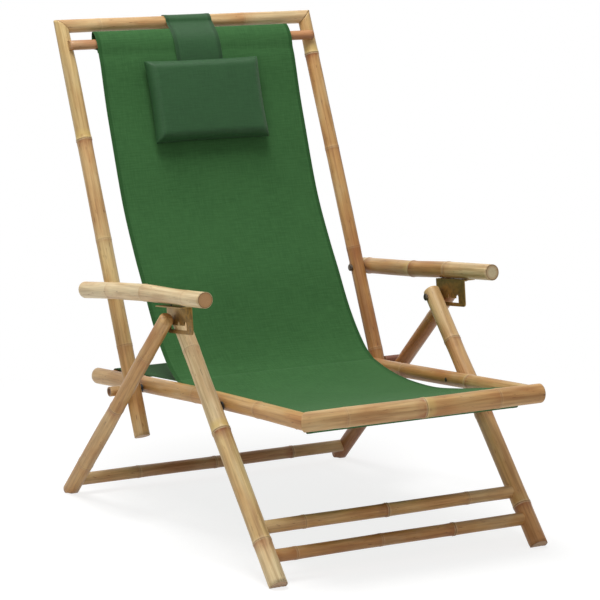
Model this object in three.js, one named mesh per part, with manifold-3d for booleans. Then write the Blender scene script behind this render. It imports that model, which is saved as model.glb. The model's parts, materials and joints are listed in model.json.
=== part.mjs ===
import * as THREE from 'three'
import Module from 'manifold-3d'

const wasm = await Module()
wasm.setup()

// Folding recliner of bamboo poles with a fabric sling, a notched armrest
// bracket on each side and a small headrest pillow. Millimetres, +X to the
// right seen from the front, +Y to the rear, +Z up, floor at zero.

// Side view: lean and slope of the poles, in degrees
const FRONT_LEG_LEAN = 47.6
const RAIL_SLOPE = 4.9
const BACK_LEAN = 65.5

// Side view: distances along the poles
const LEG_TO_RAIL_PIVOT = 396.5
const LEG_TO_TOP_PIN = 593.5
const LEG_PAST_PIN = 20
const RAIL_PIVOT_SPAN = 356.5
const RAIL_AHEAD = 298.5
const RAIL_BEHIND = 240
const BACK_TO_ARM_PIVOT = 211
const BACK_ABOVE = 785.5
const BACK_BELOW = 99.7
const ARM_AHEAD = 481.5
const ARM_BEHIND = 71.3
const PIN_BELOW_ARM = 52

// Pole and bar radii at the nodes
const FRONT_LEG_R = 18
const REAR_LEG_R = 16
const RAIL_R = 16
const BACK_R = 15.5
const ARM_R = 16.5
const FRONT_BAR_R = 18.5
const TOP_BAR_R = 15
const CROSSBAR_R = 12
const SLING_BAR_R = 11
const PEG_R = 10
const NODE_RISE = 0.9

// Across the seat
const SLING_HALF_WIDTH = 232
const SLING_TO_RAIL = 6
const RAIL_X = SLING_HALF_WIDTH + SLING_TO_RAIL + RAIL_R
const FIT = 0.35
const LEG_WASHER_T = 2.4
const LEG_WASHER_R = 23
const PIVOT_WASHER_R = 13

// Metal
const BOLT_R = 3.9
const BOLT_BORE_R = 4.1
const NUT_R = 7.5
const NUT_T = 4.2
const NUT_WASHER_R = 10
const NUT_WASHER_T = 1.6
const BOLT_HEAD_T = 4
const BOLT_END_GAP = 1
const PLATE_T = 2
const PLATE_BORDER = 7.5
const PLATE_REAR_BORDER = 12.8
const PLATE_FRONT_BORDER = 24.8
const PLATE_CORNER_R = 7
const NOTCH_PITCH = 30
const NOTCH_COUNT = 3
const SLOT_HEIGHT = 9
const NOTCH_DEPTH = 8
const PIN_SLOT_W = 10.4
const FLANGE_W = 26
const SCREW_R = 1.9
const SCREW_HEAD_R = 4.2
const SCREW_HEAD_T = 2.2
const SCREW_BORE_R = 2.1
const SCREW_FROM_PIN = 28
const SCREW_SPACING = 46

// Fabric
const FABRIC_T = 2
const HEM_CLEARANCE = 2
const SLING_TOP_AHEAD = 18
const SLING_FRONT_LOW = 7
const SLING_REAR_INSET = 33
const SLING_REAR_RISE = 4
const SEAT_SAG = 18
const PILLOW_W = 260
const PILLOW_H = 178
const PILLOW_BELOW_BAR = 52.8
const PILLOW_T = 40
const PILLOW_EDGE_T = 4
const STRAP_W = 100
const STRAP_T = 2
const STRAP_DROP = 130
const STRAP_LEAD = 8

// Sides of a round pole or pin, and places of the nodes along each pole
const AROUND = 16
const nodeShares = {
  front_leg_left: [0.155, 0.555, 0.86],
  front_leg_right: [0.15, 0.5, 0.79],
  rear_leg_left: [0.2, 0.5, 0.83],
  rear_leg_right: [0.16, 0.46, 0.78],
  seat_rail_left: [0.22, 0.5, 0.77],
  seat_rail_right: [0.28, 0.55, 0.82],
  back_pole_left: [0.21, 0.46, 0.7],
  back_pole_right: [0.14, 0.39, 0.64, 0.88],
  armrest_left: [0.24, 0.53, 0.86],
  armrest_right: [0.12, 0.45, 0.7],
  front_crossbar_lower: [0.1, 0.42, 0.7],
  front_crossbar_upper: [0.17, 0.485, 0.8],
  rear_crossbar: [0.22, 0.5, 0.79],
  front_bar: [0.19, 0.5, 0.8],
  top_bar: [0.17, 0.44, 0.72],
  front_sling_bar: [0.3, 0.68],
  rear_sling_bar: [0.26, 0.6],
  back_sling_bar: [0.34, 0.71],
}

const rad = (degrees) => degrees * Math.PI / 180

// Plane vectors are [y, z] in the side view
const heading = (degrees) => [Math.cos(rad(degrees)), Math.sin(rad(degrees))]
const along = (p, v, s) => [p[0] + v[0] * s, p[1] + v[1] * s]
const gapOf = (p, q) => Math.hypot(q[0] - p[0], q[1] - p[1])
const at = (x, p) => [x, p[0], p[1]]
const turned = (v) => [-v[1], v[0]]

const lerp = (p, q, s) => p.map((value, k) => value + (q[k] - value) * s)
const minus = (p, q) => p.map((value, k) => value - q[k])
const plus = (p, q) => p.map((value, k) => value + q[k])
const times = (p, s) => p.map((value) => value * s)
const size3 = (p) => Math.hypot(p[0], p[1], p[2])
const unit = (p) => times(p, 1 / size3(p))
const cross = (p, q) => [p[1] * q[2] - p[2] * q[1], p[2] * q[0] - p[0] * q[2], p[0] * q[1] - p[1] * q[0]]

// Layers across the chair, from the rails outwards
const legX = RAIL_X + RAIL_R + FIT + LEG_WASHER_T + FIT + FRONT_LEG_R
const plateInnerX = legX + FRONT_LEG_R + FIT
const plateOuterX = plateInnerX + PLATE_T
const rearX = plateOuterX + FIT + REAR_LEG_R
const armX = legX + BACK_R + FIT + ARM_R
const pegEndX = rearX + REAR_LEG_R

// Pivots in the side view, measured from where the front leg's axis meets the floor
const legWay = heading(FRONT_LEG_LEAN)
const railWay = heading(-RAIL_SLOPE)
const backWay = heading(BACK_LEAN)
const legFoot = [0, 0]
const rawRailPivot = along(legFoot, legWay, LEG_TO_RAIL_PIVOT)
const rawBackPivot = along(rawRailPivot, railWay, RAIL_PIVOT_SPAN)
const rawTop = along(rawBackPivot, backWay, BACK_ABOVE)
const rawFront = along(rawRailPivot, railWay, -RAIL_AHEAD)

// The origin lies under the middle of the whole depth
const strapBulge = FIT + STRAP_T
const rearReach = rawTop[0] + TOP_BAR_R + strapBulge
const frontReach = rawFront[0] - FRONT_BAR_R
const shift = -(rearReach + frontReach) / 2
const floorPoint = [legFoot[0] + shift, legFoot[1]]
const railPivot = [rawRailPivot[0] + shift, rawRailPivot[1]]
const backPivot = [rawBackPivot[0] + shift, rawBackPivot[1]]
const topCorner = [rawTop[0] + shift, rawTop[1]]
const frontCorner = [rawFront[0] + shift, rawFront[1]]
const topPin = along(floorPoint, legWay, LEG_TO_TOP_PIN)
const armPivot = along(backPivot, backWay, BACK_TO_ARM_PIVOT)

// The armrest's axis passes a set distance above the pin
const pinSpan = gapOf(armPivot, topPin)
const pinBearing = Math.atan2(topPin[1] - armPivot[1], topPin[0] - armPivot[0])
const armBearing = pinBearing - Math.asin(PIN_BELOW_ARM / pinSpan)
const armWay = [Math.cos(armBearing), Math.sin(armBearing)]
const armDown = turned(armWay)
const pinAlongArm = Math.sqrt(pinSpan * pinSpan - PIN_BELOW_ARM * PIN_BELOW_ARM)

// The rear leg carries the peg at the back pivot on its upper side
const pegSpan = gapOf(topPin, backPivot)
const pegRest = REAR_LEG_R + PEG_R + FIT
const pegBearing = Math.atan2(backPivot[1] - topPin[1], backPivot[0] - topPin[0])
const rearBearing = pegBearing - Math.asin(pegRest / pegSpan)
const rearWay = [Math.cos(rearBearing), Math.sin(rearBearing)]
const rearToFloor = -topPin[1] / rearWay[1]

// Solids are built as welded point and triangle lists
function solid(points, faces) {
  let volume = 0
  for (const [i, j, k] of faces) {
    const n = cross(points[j], points[k])
    volume += points[i][0] * n[0] + points[i][1] * n[1] + points[i][2] * n[2]
  }
  const ordered = volume > 0 ? faces : faces.map(([i, j, k]) => [i, k, j])
  const vertProperties = new Float32Array(points.flat())
  const triVerts = new Uint32Array(ordered.flat())
  return new wasm.Manifold(new wasm.Mesh({ numProp: 3, vertProperties, triVerts }))
}

// A turned body between two points: profile rows are [distance, radius]
function turn(start, end, profile) {
  const axis = unit(minus(end, start))
  const side = Math.abs(axis[0]) > 0.9 ? [0, 0, 1] : [1, 0, 0]
  const u = unit(cross(cross(axis, side), axis))
  const v = cross(axis, u)
  const points = []
  const rings = []
  for (const [distance, radius] of profile) {
    const centre = plus(start, times(axis, distance))
    const ring = []
    if (radius <= 0) {
      ring.push(points.length)
      points.push(centre)
    } else {
      for (let k = 0; k < AROUND; k += 1) {
        const angle = 2 * Math.PI * k / AROUND
        const offset = plus(times(u, radius * Math.cos(angle)), times(v, radius * Math.sin(angle)))
        ring.push(points.length)
        points.push(plus(centre, offset))
      }
    }
    rings.push(ring)
  }
  const faces = []
  for (let r = 0; r + 1 < rings.length; r += 1) {
    const low = rings[r]
    const high = rings[r + 1]
    for (let k = 0; k < AROUND; k += 1) {
      const next = (k + 1) % AROUND
      if (low.length > 1 && high.length > 1) {
        faces.push([low[k], low[next], high[next]], [low[k], high[next], high[k]])
      } else if (high.length > 1) {
        faces.push([low[0], high[next], high[k]])
      } else {
        faces.push([low[k], low[next], high[0]])
      }
    }
  }
  return solid(points, faces)
}

const rod = (start, end, radius) => {
  const length = size3(minus(end, start))
  return turn(start, end, [[0, 0], [0, radius], [length, radius], [length, 0]])
}

// A bamboo pole: straight culms between nodes, each node a ridge, a groove and a ridge
const ridgeShares = [[-0.55, 0], [-0.1, 1], [0, 0.25], [0.12, 1], [0.6, 0]]
function pole(name, start, end, radius, startEnd, endEnd) {
  const length = size3(minus(end, start))
  const culm = radius - NODE_RISE
  const rows = [...capRows(startEnd, culm)]
  for (const share of nodeShares[name]) {
    for (const [offsetShare, riseShare] of ridgeShares) {
      rows.push([length * share + radius * offsetShare, culm + NODE_RISE * riseShare])
    }
  }
  for (const [distance, r] of capRows(endEnd, culm).reverse()) {
    rows.push([length - distance, r])
  }
  return turn(start, end, rows)
}

// Pole ends: cut square with a broken edge, rounded over, or plain for a joint
const endShares = {
  square: [[0, 0], [0, 0.84], [0.06, 0.95], [0.18, 1]],
  round: [[0, 0], [0, 0.5], [0.1, 0.76], [0.28, 0.93], [0.5, 1]],
  plain: [[0, 0], [0, 1]],
}
function capRows(kind, radius) {
  return endShares[kind].map(([depthShare, widthShare]) => [depthShare * radius, widthShare * radius])
}

// A side-view outline, with holes, carried across from one x to another
function prism(outline, holes, x0, x1) {
  const contour = outline.map((p) => new THREE.Vector2(p[0], p[1]))
  const inner = holes.map((hole) => hole.map((p) => new THREE.Vector2(p[0], p[1])))
  const caps = THREE.ShapeUtils.triangulateShape(contour, inner)
  const loops = [outline, ...holes]
  const flat = loops.flat()
  const points = [...flat.map((p) => at(x0, p)), ...flat.map((p) => at(x1, p))]
  const count = flat.length
  const faces = []
  const turnOf = (loop) => Math.sign(THREE.ShapeUtils.area(loop.map((p) => new THREE.Vector2(p[0], p[1]))))
  let capArea = 0
  for (const [i, j, k] of caps) {
    capArea += (flat[j][0] - flat[i][0]) * (flat[k][1] - flat[i][1])
      - (flat[k][0] - flat[i][0]) * (flat[j][1] - flat[i][1])
  }
  for (const [i, j, k] of caps) {
    const [p, q] = capArea > 0 ? [j, k] : [k, j]
    faces.push([i, q, p], [i + count, p + count, q + count])
  }
  let base = 0
  loops.forEach((loop, which) => {
    const forward = (which === 0) === (turnOf(loop) > 0)
    for (let k = 0; k < loop.length; k += 1) {
      const a = base + k
      const b = base + (k + 1) % loop.length
      const [p, q] = forward ? [a, b] : [b, a]
      faces.push([p, q, q + count], [p, q + count, p + count])
    }
    base += loop.length
  })
  return solid(points, faces)
}

const FAR = 3 * (BACK_ABOVE + RAIL_AHEAD)

// Everything on the far side of a plane, as a block to take away
function beyond(point, normal) {
  const n = unit(normal)
  const side = Math.abs(n[0]) > 0.9 ? [0, 0, 1] : [1, 0, 0]
  const u = unit(cross(n, side))
  const v = cross(n, u)
  const points = []
  for (const depth of [0, FAR]) {
    for (const [su, sv] of [[-1, -1], [1, -1], [1, 1], [-1, 1]]) {
      points.push(plus(plus(point, times(n, depth)), plus(times(u, su * FAR), times(v, sv * FAR))))
    }
  }
  const faces = [[0, 2, 1], [0, 3, 2], [4, 5, 6], [4, 6, 7]]
  for (let k = 0; k < 4; k += 1) {
    const next = (k + 1) % 4
    faces.push([k, next, next + 4], [k, next + 4, k + 4])
  }
  return solid(points, faces)
}

const floorCut = beyond([0, 0, 0], [0, 0, -1])

// Cutter around a pole that a bar butts against
const scribe = (start, end, radius) => rod(start, end, radius - NODE_RISE + FIT / Math.cos(Math.PI / AROUND))

const group = new THREE.Group()
function piece(name, body) {
  const mesh = body.getMesh()
  const geometry = new THREE.BufferGeometry()
  geometry.setAttribute('position', new THREE.BufferAttribute(new Float32Array(mesh.vertProperties), 3))
  geometry.setIndex(new THREE.BufferAttribute(new Uint32Array(mesh.triVerts), 1))
  geometry.computeVertexNormals()
  const part = new THREE.Mesh(geometry)
  part.name = name
  group.add(part)
}

const sides = [['left', -1], ['right', 1]]

// Front legs: square feet worn flat on the floor, rounded tops
const footFlatShare = 0.45
const footDropOf = (radius, way) => radius * (Math.abs(way[0]) - footFlatShare)
const frontStart = footDropOf(FRONT_LEG_R, legWay) / legWay[1]
const frontLegStart = along(floorPoint, legWay, frontStart)
const frontLegEnd = along(floorPoint, legWay, LEG_TO_TOP_PIN + LEG_PAST_PIN)
const rearEndDistance = rearToFloor - footDropOf(REAR_LEG_R, rearWay) / Math.abs(rearWay[1])
const rearLegStart = along(topPin, rearWay, -LEG_PAST_PIN)
const rearLegEnd = along(topPin, rearWay, rearEndDistance)
const blindShare = 0.5
const legBlindX = legX + FRONT_LEG_R * blindShare
const rearBlindX = rearX + REAR_LEG_R * blindShare
const armBlindX = armX + ARM_R * blindShare

for (const [word, side] of sides) {
  const x = side * legX
  const bore = rod(at(side * RAIL_X, railPivot), at(side * legBlindX, railPivot), BOLT_BORE_R)
  const pinBore = rod(at(side * RAIL_X, topPin), at(side * rearX, topPin), BOLT_BORE_R)
  const name = `front_leg_${word}`
  const body = pole(name, at(x, frontLegStart), at(x, frontLegEnd), FRONT_LEG_R, 'square', 'round')
  piece(name, body.subtract(floorCut).subtract(bore).subtract(pinBore))
}

// Crossbars between the front legs, their ends scribed to the legs
const frontScribes = sides.map(([, side]) => scribe(
  at(side * legX, along(floorPoint, legWay, -FRONT_LEG_R)),
  at(side * legX, frontLegEnd),
  FRONT_LEG_R,
))
const lowerBarShare = 0.114
const upperBarShare = 0.217
for (const [name, share] of [
  ['front_crossbar_lower', lowerBarShare],
  ['front_crossbar_upper', upperBarShare],
]) {
  const p = along(floorPoint, legWay, LEG_TO_TOP_PIN * share)
  const bar = pole(name, at(-legX, p), at(legX, p), CROSSBAR_R, 'plain', 'plain')
  piece(name, bar.subtract(frontScribes[0]).subtract(frontScribes[1]))
}

// Bolts through the rails into the front legs, with a wide washer between the poles
const ring = (x0, x1, p, outer, inner) => {
  const hole = rod(at(x0 - (x1 - x0), p), at(x1 + (x1 - x0), p), inner)
  return rod(at(x0, p), at(x1, p), outer).subtract(hole)
}
const nutShares = [[0, 0], [0, 0.5], [0.25, 0.82], [0.5, 1], [1, 1], [1, 0]]
const scaled = (shares, length, radius) => shares.map(([share, wide]) => [share * length, wide * radius])
function headedBolt(side, p, nutInnerX, endX) {
  const shank = rod(at(side * (nutInnerX - FIT), p), at(side * endX, p), BOLT_R)
  const nutRows = scaled(nutShares, NUT_T, NUT_R)
  return shank.add(turn(at(side * (nutInnerX - NUT_T), p), at(side * nutInnerX, p), nutRows))
}
const railInnerX = RAIL_X - RAIL_R
const washerX = RAIL_X + RAIL_R + FIT
const washerOuterX = washerX + LEG_WASHER_T
for (const [word, side] of sides) {
  piece(`leg_bolt_${word}`, headedBolt(side, railPivot, railInnerX - FIT, legBlindX - BOLT_END_GAP))
  const washer = ring(side * washerX, side * washerOuterX, railPivot, LEG_WASHER_R, BOLT_BORE_R)
  piece(`leg_washer_${word}`, washer)
}

// Top pins: the inner part through the front leg, the outer part in the rear leg
const legInnerX = legX - FRONT_LEG_R
const outerPinX = [plateOuterX + FIT, rearBlindX - BOLT_END_GAP]
for (const [word, side] of sides) {
  piece(`top_pin_inner_${word}`, headedBolt(side, topPin, legInnerX - FIT, plateInnerX - FIT))
  const outer = rod(at(side * outerPinX[0], topPin), at(side * outerPinX[1], topPin), BOLT_R)
  piece(`top_pin_outer_${word}`, outer)
}

// Rear legs and their crossbar
for (const [word, side] of sides) {
  const x = side * rearX
  const bore = rod(at(side * legX, topPin), at(side * rearBlindX, topPin), BOLT_BORE_R)
  const name = `rear_leg_${word}`
  const body = pole(name, at(x, rearLegStart), at(x, rearLegEnd), REAR_LEG_R, 'round', 'square')
  piece(name, body.subtract(floorCut).subtract(bore))
}
const rearBarShare = 0.926
const rearBarPoint = along(topPin, rearWay, rearToFloor * rearBarShare)
const rearScribes = sides.map(([, side]) => scribe(
  at(side * rearX, rearLegStart),
  at(side * rearX, along(topPin, rearWay, rearToFloor + REAR_LEG_R)),
  REAR_LEG_R,
))
const rearBarEnds = sides.map(([, side]) => at(side * rearX, rearBarPoint))
const rearBar = pole('rear_crossbar', rearBarEnds[0], rearBarEnds[1], CROSSBAR_R, 'plain', 'plain')
piece('rear_crossbar', rearBar.subtract(rearScribes[0]).subtract(rearScribes[1]))

// Seat frame: two rails mitred to the front bar, and two bars that hold the sling
const railEnd = along(backPivot, railWay, RAIL_BEHIND)
const mitreNormal = (side, way) => unit([side, way[0], way[1]])
function keepPole(body, corner, side, way) {
  const n = mitreNormal(side, way)
  return body.subtract(beyond(plus(corner, times(n, FIT / 2)), times(n, -1)))
}
function keepBar(body, corner, side, way) {
  const n = mitreNormal(side, way)
  return body.subtract(beyond(plus(corner, times(n, -FIT / 2)), n))
}
const mitreLeadShare = 1.4
const railLead = along(frontCorner, railWay, -FRONT_BAR_R * mitreLeadShare)
for (const [word, side] of sides) {
  const x = side * RAIL_X
  const name = `seat_rail_${word}`
  const bores = [railPivot, backPivot].map((p) => rod(at(0, p), at(side * legX, p), BOLT_BORE_R))
  const body = pole(name, at(x, railLead), at(x, railEnd), RAIL_R, 'plain', 'round')
  const cut = keepPole(body, at(x, frontCorner), side, railWay)
  piece(name, cut.subtract(bores[0]).subtract(bores[1]))
}
const frontBarReach = RAIL_X + RAIL_R * mitreLeadShare
const frontBarEnds = sides.map(([, side]) => at(side * frontBarReach, frontCorner))
let frontBar = pole('front_bar', frontBarEnds[0], frontBarEnds[1], FRONT_BAR_R, 'plain', 'plain')
for (const [, side] of sides) {
  frontBar = keepBar(frontBar, at(side * RAIL_X, frontCorner), side, railWay)
}
piece('front_bar', frontBar)

const slingFrontAlong = -RAIL_AHEAD + FRONT_BAR_R + SLING_BAR_R + FABRIC_T + 2 * FIT + HEM_CLEARANCE
const slingRearAlong = RAIL_PIVOT_SPAN + RAIL_BEHIND - SLING_REAR_INSET
const railUp = turned(railWay)
const onRail = (s, up) => along(along(railPivot, railWay, s), railUp, up)
const slingFront = onRail(slingFrontAlong, -SLING_FRONT_LOW)
const slingRear = onRail(slingRearAlong, SLING_REAR_RISE)
function scribes(x, start, end, radius) {
  return sides.map(([, side]) => scribe(at(side * x, start), at(side * x, end), radius))
}
const railScribes = scribes(RAIL_X, railLead, railEnd, RAIL_R)
for (const [name, p] of [['front_sling_bar', slingFront], ['rear_sling_bar', slingRear]]) {
  const bar = pole(name, at(-RAIL_X, p), at(RAIL_X, p), SLING_BAR_R, 'plain', 'plain')
  piece(name, bar.subtract(railScribes[0]).subtract(railScribes[1]))
}

// Pivot pegs: hollow pegs outside the back poles that rest on the rear legs
const backInnerX = legX - BACK_R
const pegStartX = legX + BACK_R + FIT
const pegWallShare = 0.62
const pegRecessShare = 0.35
for (const [word, side] of sides) {
  const recessX = pegEndX - (pegEndX - pegStartX) * pegRecessShare
  const hollowX = [recessX, pegEndX + FIT]
  const hollow = rod(at(side * hollowX[0], backPivot), at(side * hollowX[1], backPivot), PEG_R * pegWallShare)
  const peg = ring(side * pegStartX, side * pegEndX, backPivot, PEG_R, BOLT_BORE_R)
  piece(`pivot_peg_${word}`, peg.subtract(hollow))
  const bolt = headedBolt(side, backPivot, railInnerX - FIT, recessX + FIT)
  const headX = [recessX + FIT, recessX + FIT + BOLT_HEAD_T]
  const head = rod(at(side * headX[0], backPivot), at(side * headX[1], backPivot), PEG_R * pegWallShare - FIT)
  piece(`pivot_bolt_${word}`, bolt.add(head))
  const washer = ring(side * washerX, side * (backInnerX - FIT), backPivot, PIVOT_WASHER_R, BOLT_BORE_R)
  piece(`pivot_washer_${word}`, washer)
}

// Back frame: two long poles mitred to the top bar, and the bar that holds the sling
const backLow = along(backPivot, backWay, -BACK_BELOW)
const topLead = along(topCorner, backWay, BACK_R * mitreLeadShare)
for (const [word, side] of sides) {
  const x = side * legX
  const name = `back_pole_${word}`
  const bores = [backPivot, armPivot].map((p) => rod(at(0, p), at(side * armX, p), BOLT_BORE_R))
  const body = pole(name, at(x, backLow), at(x, topLead), BACK_R, 'square', 'plain')
  const cut = keepPole(body, at(x, topCorner), side, times(backWay, -1))
  piece(name, cut.subtract(bores[0]).subtract(bores[1]))
}
const topBarReach = legX + BACK_R * mitreLeadShare
const topBarEnds = sides.map(([, side]) => at(side * topBarReach, topCorner))
let topBar = pole('top_bar', topBarEnds[0], topBarEnds[1], TOP_BAR_R, 'plain', 'plain')
for (const [, side] of sides) {
  topBar = keepBar(topBar, at(side * legX, topCorner), side, times(backWay, -1))
}
piece('top_bar', topBar)

const slingTopShare = 0.938
const backFront = turned(backWay)
const onBack = (s, ahead) => along(along(backPivot, backWay, s), backFront, ahead)
const slingTop = onBack(BACK_ABOVE * slingTopShare, SLING_TOP_AHEAD)
const backScribes = scribes(legX, backLow, topLead, BACK_R)
const slingTopEnds = sides.map(([, side]) => at(side * legX, slingTop))
const backSlingBar = pole('back_sling_bar', slingTopEnds[0], slingTopEnds[1], SLING_BAR_R, 'plain', 'plain')
piece('back_sling_bar', backSlingBar.subtract(backScribes[0]).subtract(backScribes[1]))

// Armrests on their bolts, with the notched plate hung below each one
const armFront = along(armPivot, armWay, ARM_AHEAD)
const armRear = along(armPivot, armWay, -ARM_BEHIND)
const underArm = (s, drop) => along(along(armPivot, armWay, s), armDown, drop)
const flangeTop = ARM_R + FIT
const flangeLow = flangeTop + PLATE_T
const screwAlong = [pinAlongArm + SCREW_FROM_PIN, pinAlongArm + SCREW_FROM_PIN + SCREW_SPACING]
const quarter = [0, 0.25, 0.5, 0.75, 1].map((share) => share * Math.PI / 2)

// The window: a level slot with upward notches that the pin drops into
const notchTop = PIN_BELOW_ARM - BOLT_R - FIT
const slotTop = notchTop + NOTCH_DEPTH
const slotLow = slotTop + SLOT_HEIGHT
const plateLow = slotLow + PLATE_BORDER
const slotRear = pinAlongArm - PIN_SLOT_W / 2
const slotFront = pinAlongArm + NOTCH_PITCH * (NOTCH_COUNT - 1) + PIN_SLOT_W / 2
const plateRear = slotRear - PLATE_REAR_BORDER
const plateFront = slotFront + PLATE_FRONT_BORDER
const slotOutline = [[slotRear, slotLow], [slotFront, slotLow]]
for (let k = NOTCH_COUNT - 1; k >= 0; k -= 1) {
  const middle = pinAlongArm + NOTCH_PITCH * k
  const roundTop = notchTop + PIN_SLOT_W / 2
  if (k < NOTCH_COUNT - 1) slotOutline.push([middle + PIN_SLOT_W / 2, slotTop])
  for (let step = 0; step <= 6; step += 1) {
    const angle = Math.PI * step / 6
    slotOutline.push([middle + PIN_SLOT_W / 2 * Math.cos(angle), roundTop - PIN_SLOT_W / 2 * Math.sin(angle)])
  }
  if (k > 0) slotOutline.push([middle - PIN_SLOT_W / 2, slotTop])
}
const plateOutline = [[plateRear, flangeTop], [plateFront, flangeTop]]
const cornerLow = plateLow - PLATE_CORNER_R
for (const angle of quarter) {
  const reach = PLATE_CORNER_R * (1 - Math.cos(angle))
  plateOutline.push([plateFront - reach, cornerLow + PLATE_CORNER_R * Math.sin(angle)])
}
for (const angle of [...quarter].reverse()) {
  const reach = PLATE_CORNER_R * (1 - Math.cos(angle))
  plateOutline.push([plateRear + reach, cornerLow + PLATE_CORNER_R * Math.sin(angle)])
}
const hung = (outline) => outline.map(([s, drop]) => underArm(s, drop))
const dedupe = (outline) => outline.filter((p, k) => gapOf(p, outline[(k + 1) % outline.length]) > FIT / 4)

const screwHeadShares = [[0, 0], [0, 1], [0.5, 0.9], [1, 0.45], [1, 0]]
const flangeOutline = [
  [plateRear, flangeTop],
  [plateFront, flangeTop],
  [plateFront, flangeLow],
  [plateRear, flangeLow],
]
const nutWasherX = [backInnerX - FIT - NUT_WASHER_T, backInnerX - FIT]
for (const [word, side] of sides) {
  const x = side * armX
  const name = `armrest_${word}`
  piece(`arm_bolt_${word}`, headedBolt(side, armPivot, nutWasherX[0] - FIT, armBlindX - BOLT_END_GAP))
  const washer = ring(side * nutWasherX[0], side * nutWasherX[1], armPivot, NUT_WASHER_R, BOLT_BORE_R)
  piece(`arm_bolt_washer_${word}`, washer)
  const bore = rod(at(side * legX, armPivot), at(side * armBlindX, armPivot), BOLT_BORE_R)
  let arm = pole(name, at(x, armRear), at(x, armFront), ARM_R, 'round', 'square').subtract(bore)
  const window = dedupe(hung(slotOutline))
  const plate = prism(dedupe(hung(plateOutline)), [window], side * plateInnerX, side * plateOuterX)
  const flange = prism(hung(flangeOutline), [], side * plateInnerX, side * (plateInnerX + FLANGE_W))
  let bracket = plate.add(flange)
  screwAlong.forEach((s, k) => {
    const boreTop = at(x, underArm(s, ARM_R * blindShare - BOLT_END_GAP))
    const screwTop = at(x, underArm(s, ARM_R * blindShare))
    const screwNeck = at(x, underArm(s, flangeLow + 2 * FIT))
    const screwLow = at(x, underArm(s, flangeLow + FIT))
    const screwEnd = at(x, underArm(s, flangeLow + FIT + SCREW_HEAD_T))
    arm = arm.subtract(rod(boreTop, screwLow, SCREW_BORE_R))
    bracket = bracket.subtract(rod(screwTop, screwEnd, SCREW_BORE_R))
    const head = turn(screwLow, screwEnd, scaled(screwHeadShares, SCREW_HEAD_T, SCREW_HEAD_R))
    piece(`bracket_screw_${k === 0 ? 'rear' : 'front'}_${word}`, rod(screwTop, screwNeck, SCREW_R).add(head))
  })
  piece(name, arm)
  piece(`bracket_${word}`, bracket)
}

// Smooth side-view path through measured points
function smooth(points, steps) {
  const knots = points.map((p) => new THREE.Vector3(0, p[0], p[1]))
  const curve = new THREE.CatmullRomCurve3(knots, false, 'centripetal')
  return curve.getSpacedPoints(steps).map((p) => [p.y, p.z])
}
const normals = (path) => path.map((p, k) => {
  const before = path[Math.max(k - 1, 0)]
  const after = path[Math.min(k + 1, path.length - 1)]
  const span = gapOf(before, after)
  return turned([(after[0] - before[0]) / span, (after[1] - before[1]) / span])
})
const offsetPath = (path, distance) => {
  const n = normals(path)
  return path.map((p, k) => along(p, n[k], distance))
}
// A band of cloth: a path given thickness and carried across from one x to another
function band(path, thickness, x0, x1) {
  const outer = offsetPath(path, thickness / 2)
  const inner = offsetPath(path, -thickness / 2)
  const points = []
  for (let k = 0; k < path.length; k += 1) {
    points.push(at(x0, outer[k]), at(x1, outer[k]), at(x1, inner[k]), at(x0, inner[k]))
  }
  const last = 4 * (path.length - 1)
  const faces = [[0, 1, 2], [0, 2, 3], [last, last + 2, last + 1], [last, last + 3, last + 2]]
  for (let base = 0; base < last; base += 4) {
    for (let k = 0; k < 4; k += 1) {
      const next = (k + 1) % 4
      faces.push([base + k, base + 4 + k, base + 4 + next], [base + k, base + 4 + next, base + next])
    }
  }
  return solid(points, faces)
}
const circle = (centre, radius, from, to, steps) => Array.from({ length: steps + 1 }, (unused, k) => {
  const angle = from + (to - from) * k / steps
  return [centre[0] + radius * Math.cos(angle), centre[1] + radius * Math.sin(angle)]
})

// Sling: a hem loops over each bar and runs into the sheet
const hemInner = SLING_BAR_R + FIT
const hemOuter = hemInner + FABRIC_T
const hemMiddle = hemInner + FABRIC_T / 2
const loopSteps = 22
const loopTurn = 2 * Math.PI * 0.93
function hemmed(centre, path, fromAngle, turnSign) {
  const loopPath = circle(centre, hemMiddle, fromAngle, fromAngle + turnSign * loopTurn, loopSteps)
  return [...loopPath.reverse(), ...path]
}
const slingX = [-SLING_HALF_WIDTH, SLING_HALF_WIDTH]
const sheet = (path) => band(path, FABRIC_T, slingX[0], slingX[1])

// Rows are shares of the back's height and of the top bar's step ahead, or of the seat's length and sag
const backShares = [[0.88, 1.5], [0.765, 0.83], [0.684, 0.56], [0.486, 0.06], [0.357, 0.5], [0.262, 1.11]]
const bendShares = [[0.145, 1.83], [0.062, 2.83], [0.018, 3.72]]
const seatShares = [[-0.33, 0.06], [-0.224, -0.22], [-0.082, -0.72], [0.063, -1], [0.241, -0.56],
  [0.331, 0.11]]
const creaseShares = [0.417, 1.06]
const seatSpan = RAIL_AHEAD + RAIL_PIVOT_SPAN
const backAt = ([share, ahead]) => onBack(BACK_ABOVE * share, SLING_TOP_AHEAD * ahead)
const seatAt = ([share, up]) => onRail(seatSpan * share, SEAT_SAG * up)

const topAngle = Math.atan2(backFront[1], backFront[0])
const slingTopLeave = along(slingTop, backFront, hemMiddle)
const backPath = smooth([slingTopLeave, ...backShares.map(backAt)], 22)
piece('sling_back', sheet(hemmed(slingTop, backPath, topAngle, -1)))

const crease = seatAt(creaseShares)
const sheetGap = 2 * FIT
const bendFirst = along(backPath[backPath.length - 1], backWay, -sheetGap)
const bendLast = [crease[0], crease[1] + FABRIC_T + sheetGap]
const bendPath = smooth([bendFirst, ...bendShares.map(backAt), bendLast], 14)
piece('sling_bend', sheet(bendPath))

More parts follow.
